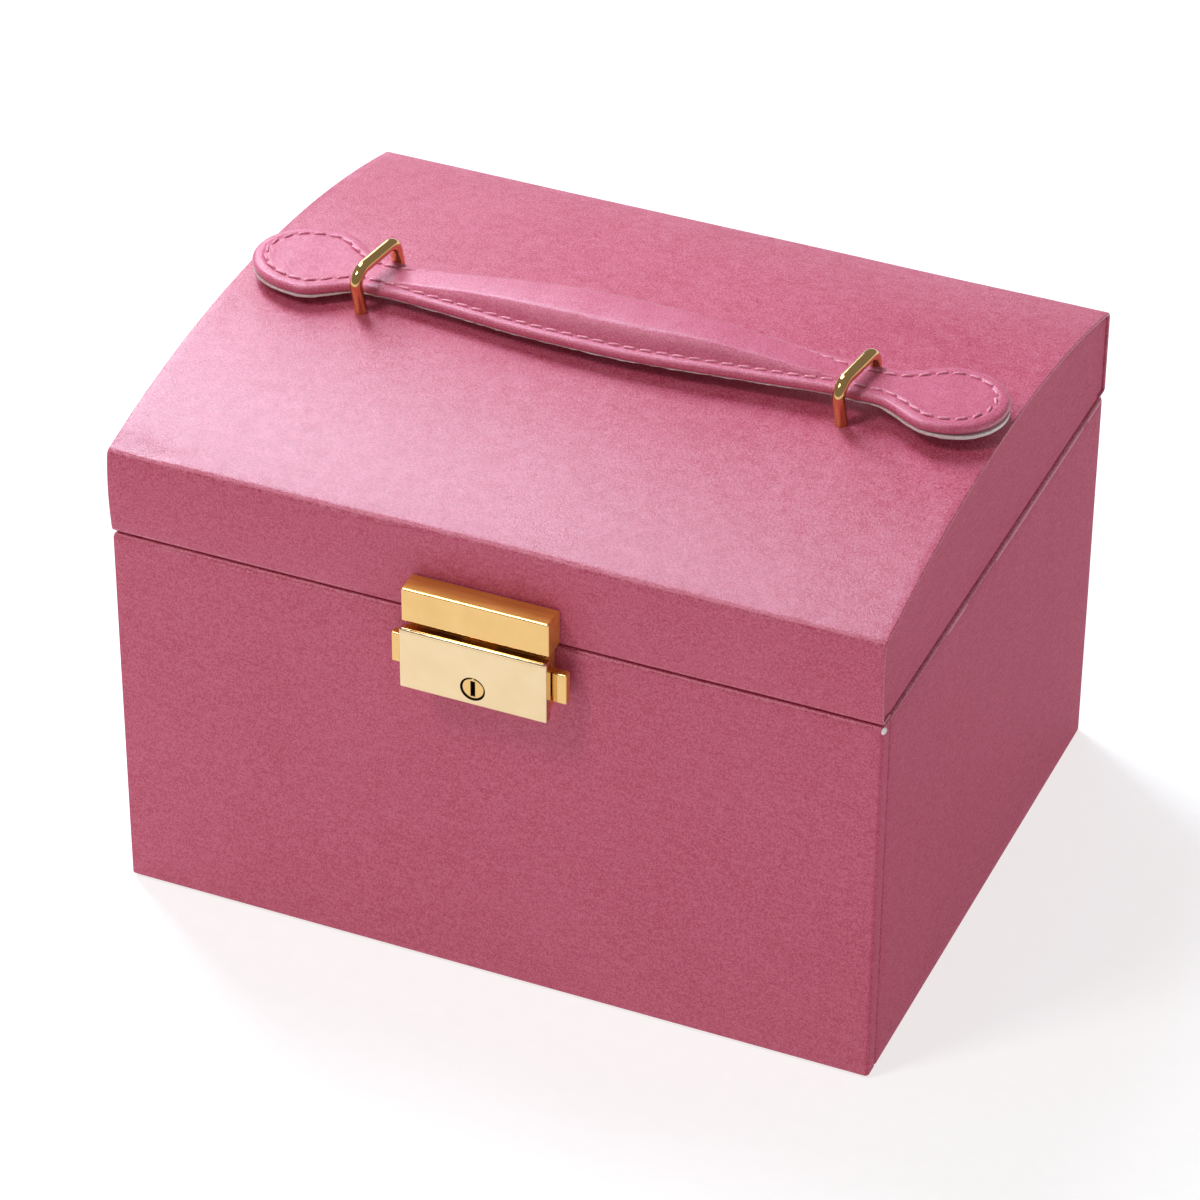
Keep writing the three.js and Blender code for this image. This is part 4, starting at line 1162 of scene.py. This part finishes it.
def roll_section(low, high, radius):
    """One roll's section in (y, z): flat below, upright sides and a round top."""
    side = [(radius - 0.2, low[2] + 0.3), (radius, low[2] + 1.2)]
    side += [(radius, z) for z in steps(low[2] + 3, high[2] - radius, 3)]
    dome = [(-radius * cos(a), high[2] - radius * (1 - sin(a))) for a in np.linspace(0, pi, 15)[1:-1]]
    return [(-y, z) for y, z in side] + dome + side[::-1]


def roll_shell(low, high, centre, radius):
    section = roll_section(low, high, radius)
    stations = [(low[0] + ROLL_END * (1 - cos(a)), sin(a)) for a in [0.3] + quarter(5)]
    stations += [(x, 1.0) for x in steps(low[0] + ROLL_END, high[0] - ROLL_END, 5)]
    stations += [(high[0] - (x - low[0]), size) for x, size in stations[:5][::-1]]
    verts = []
    for x, size in stations:
        shrink = (1 - size) * 1.4
        for y, z in section:
            inward = shrink * (1 if y < 0 else -1)
            top = shrink if z > high[2] - radius else 0
            swell = bumps(x, centre + y, z, 9, 0.12)
            verts.append((x, centre + y + inward, min(z - top + swell * 0.5, high[2])))
    return shell(verts, len(section))


def ring_rolls(finish):
    """Velvet rolls that hold rings between them, each a long cushion with round ends."""
    low, high = extent("ring_rolls")
    pitch = (high[1] - low[1]) / ROLL_COUNT
    verts, faces = [], []
    for roll in range(ROLL_COUNT):
        centre = low[1] + pitch * (roll + 0.5)
        append_shell(verts, faces, *roll_shell(low, high, centre, pitch / 2 - ROLL_GAP))
    piece = make_object("ring_roll_cushions", verts, faces, finish, 55)
    settle(piece, "tray", "velvet", "ring_rolls")


def pull_tab(finish):
    """Leatherette tab glued to the long divider, with round upper corners."""
    low, high = extent("tray_pull")
    corner = [(high[0] - TAB_CORNER * (1 - cos(a)), high[2] - TAB_CORNER * (1 - sin(a)))
              for a in [0] + quarter(6) + [pi / 2]]
    outline = [(low[0], low[2]), (high[0], low[2]), *corner]
    outline += [(low[0] + high[0] - x, z) for x, z in corner[::-1]]
    verts = [(x, y, z) for y in (low[1], high[1]) for x, z in outline]
    piece = make_object("tray_pull_tab", *shell(verts, len(outline)), finish)
    soften(piece, 0.25, 3)
    settle(piece, "tray", "leatherette", "tray_pull")


def mirror_frame(gold):
    """Half-round gold bead round the mirror."""
    low, high = extent("mirror_frame")
    half = (extent("mirror")[0][0] - low[0] - MIRROR_LIP) / 2
    corner = 2 * half + 1.5
    dome = [(half * (1 - cos(a)), low[2] + BEAD_HEIGHT * (1 - sin(a))) for a in np.linspace(0, pi, 13)]
    section = [(0.0, high[2]), *dome, (2 * half, high[2])]
    verts = []
    for across, up, start in ((1, -1, -90), (1, 1, 0), (-1, 1, 90), (-1, -1, 180)):
        x, y = across * (high[0] - corner), up * (high[1] - corner)
        for angle in (radians(start + 15 * step) for step in range(7)):
            verts += [(x + (corner - inset) * cos(angle), y + (corner - inset) * sin(angle), z)
                      for inset, z in section]
    bead = make_object("mirror_bead", *shell(verts, len(section), wrap=True), gold)
    settle(bead, "lid", "gold_trim", "mirror_frame")


def interior(lining, leather, glass, gold):
    for side in ("front", "back", "left", "right"):
        refine(side + "_lining", "case", "velvet", lining, 0.4, 3)
    pad("floor_cushion", "floor_pad", "case", lining, 0.5, 1.2)
    for part in ("shell", "long_divider", "cross_divider"):
        refine("tray_" + part, "tray", "velvet", lining, 0.7, 3)
    ring_rolls(lining)
    pull_tab(leather)
    refine("lid_liner", "lid", "velvet", lining, 0.45, 3)
    refine("mirror", "lid", "mirror", glass, 0.9, 1)
    mirror_frame(gold)


# Build

make_camera()
make_stage()

ROSE_LIGHT = (0.63, 0.150, 0.236)
ROSE_DARK = (0.46, 0.060, 0.115)
# One leatherette in copies that differ only to mimic how light falls: the glossy lid-top copy, with its own
# colours, carries the highlights; the front copy reflects less; the near-matte wall copy shows no reflection,
# which is painted shade.
rose = leatherette("rose_leatherette", (0.67, 0.185, 0.275), (0.44, 0.025, 0.075), 0.53, 0.32)
shade_front_rose = leatherette("shade_front_leatherette", ROSE_LIGHT, ROSE_DARK, 0.20, 0.40)
shade_wall_rose = leatherette("shade_wall_leatherette", ROSE_LIGHT, ROSE_DARK, 0.015, 0.45)
strap_rose = leatherette("strap_leatherette", (0.69, 0.185, 0.285), (0.51, 0.080, 0.150), 0.42, 0.34)
gold_plate = polished_gold("polished_gold", (0.76, 0.490, 0.200), (0.72, 0.450, 0.175), 0.06, 0.13)
# A paler, more neutral gold for the front plate. Its paleness is partly painted reflection, standing in for
# the brighter floor that the slightly tilted real plate sees.
pale_gold = polished_gold("pale_gold", (0.77, 0.585, 0.350), (0.73, 0.545, 0.320), 0.10, 0.18)
shaded_gold = shade_painted_gold()
cream_velvet = velvet()
raw_board = core_board()
steel_plate = plated_steel()
felt = backing_felt()

finishes = {
    "leatherette": rose, "strap_leatherette": strap_rose, "core_board": raw_board, "velvet": cream_velvet,
    "mirror": cream_velvet, "gold_trim": gold_plate, "steel": steel_plate,
}
for part in frame["record"]["subparts"]:
    for slot in frame["nodes"][part["node"]].material_slots:
        slot.material = finishes[part["material_slot"]]

case_covers(shade_front_rose, shade_wall_rose, rose)
worn_corner(felt)
lid_cover(rose, shade_front_rose)
gusset_cover("left", -1, shade_wall_rose)
gusset_cover("right", 1, shade_wall_rose)
strap(strap_rose, felt, thread())
loops(gold_plate)
lock(gold_plate, pale_gold, shaded_gold, painted_shade_recess())
hinges(gold_plate, steel_plate)
interior(cream_velvet, rose, mirror_glass(), gold_plate)
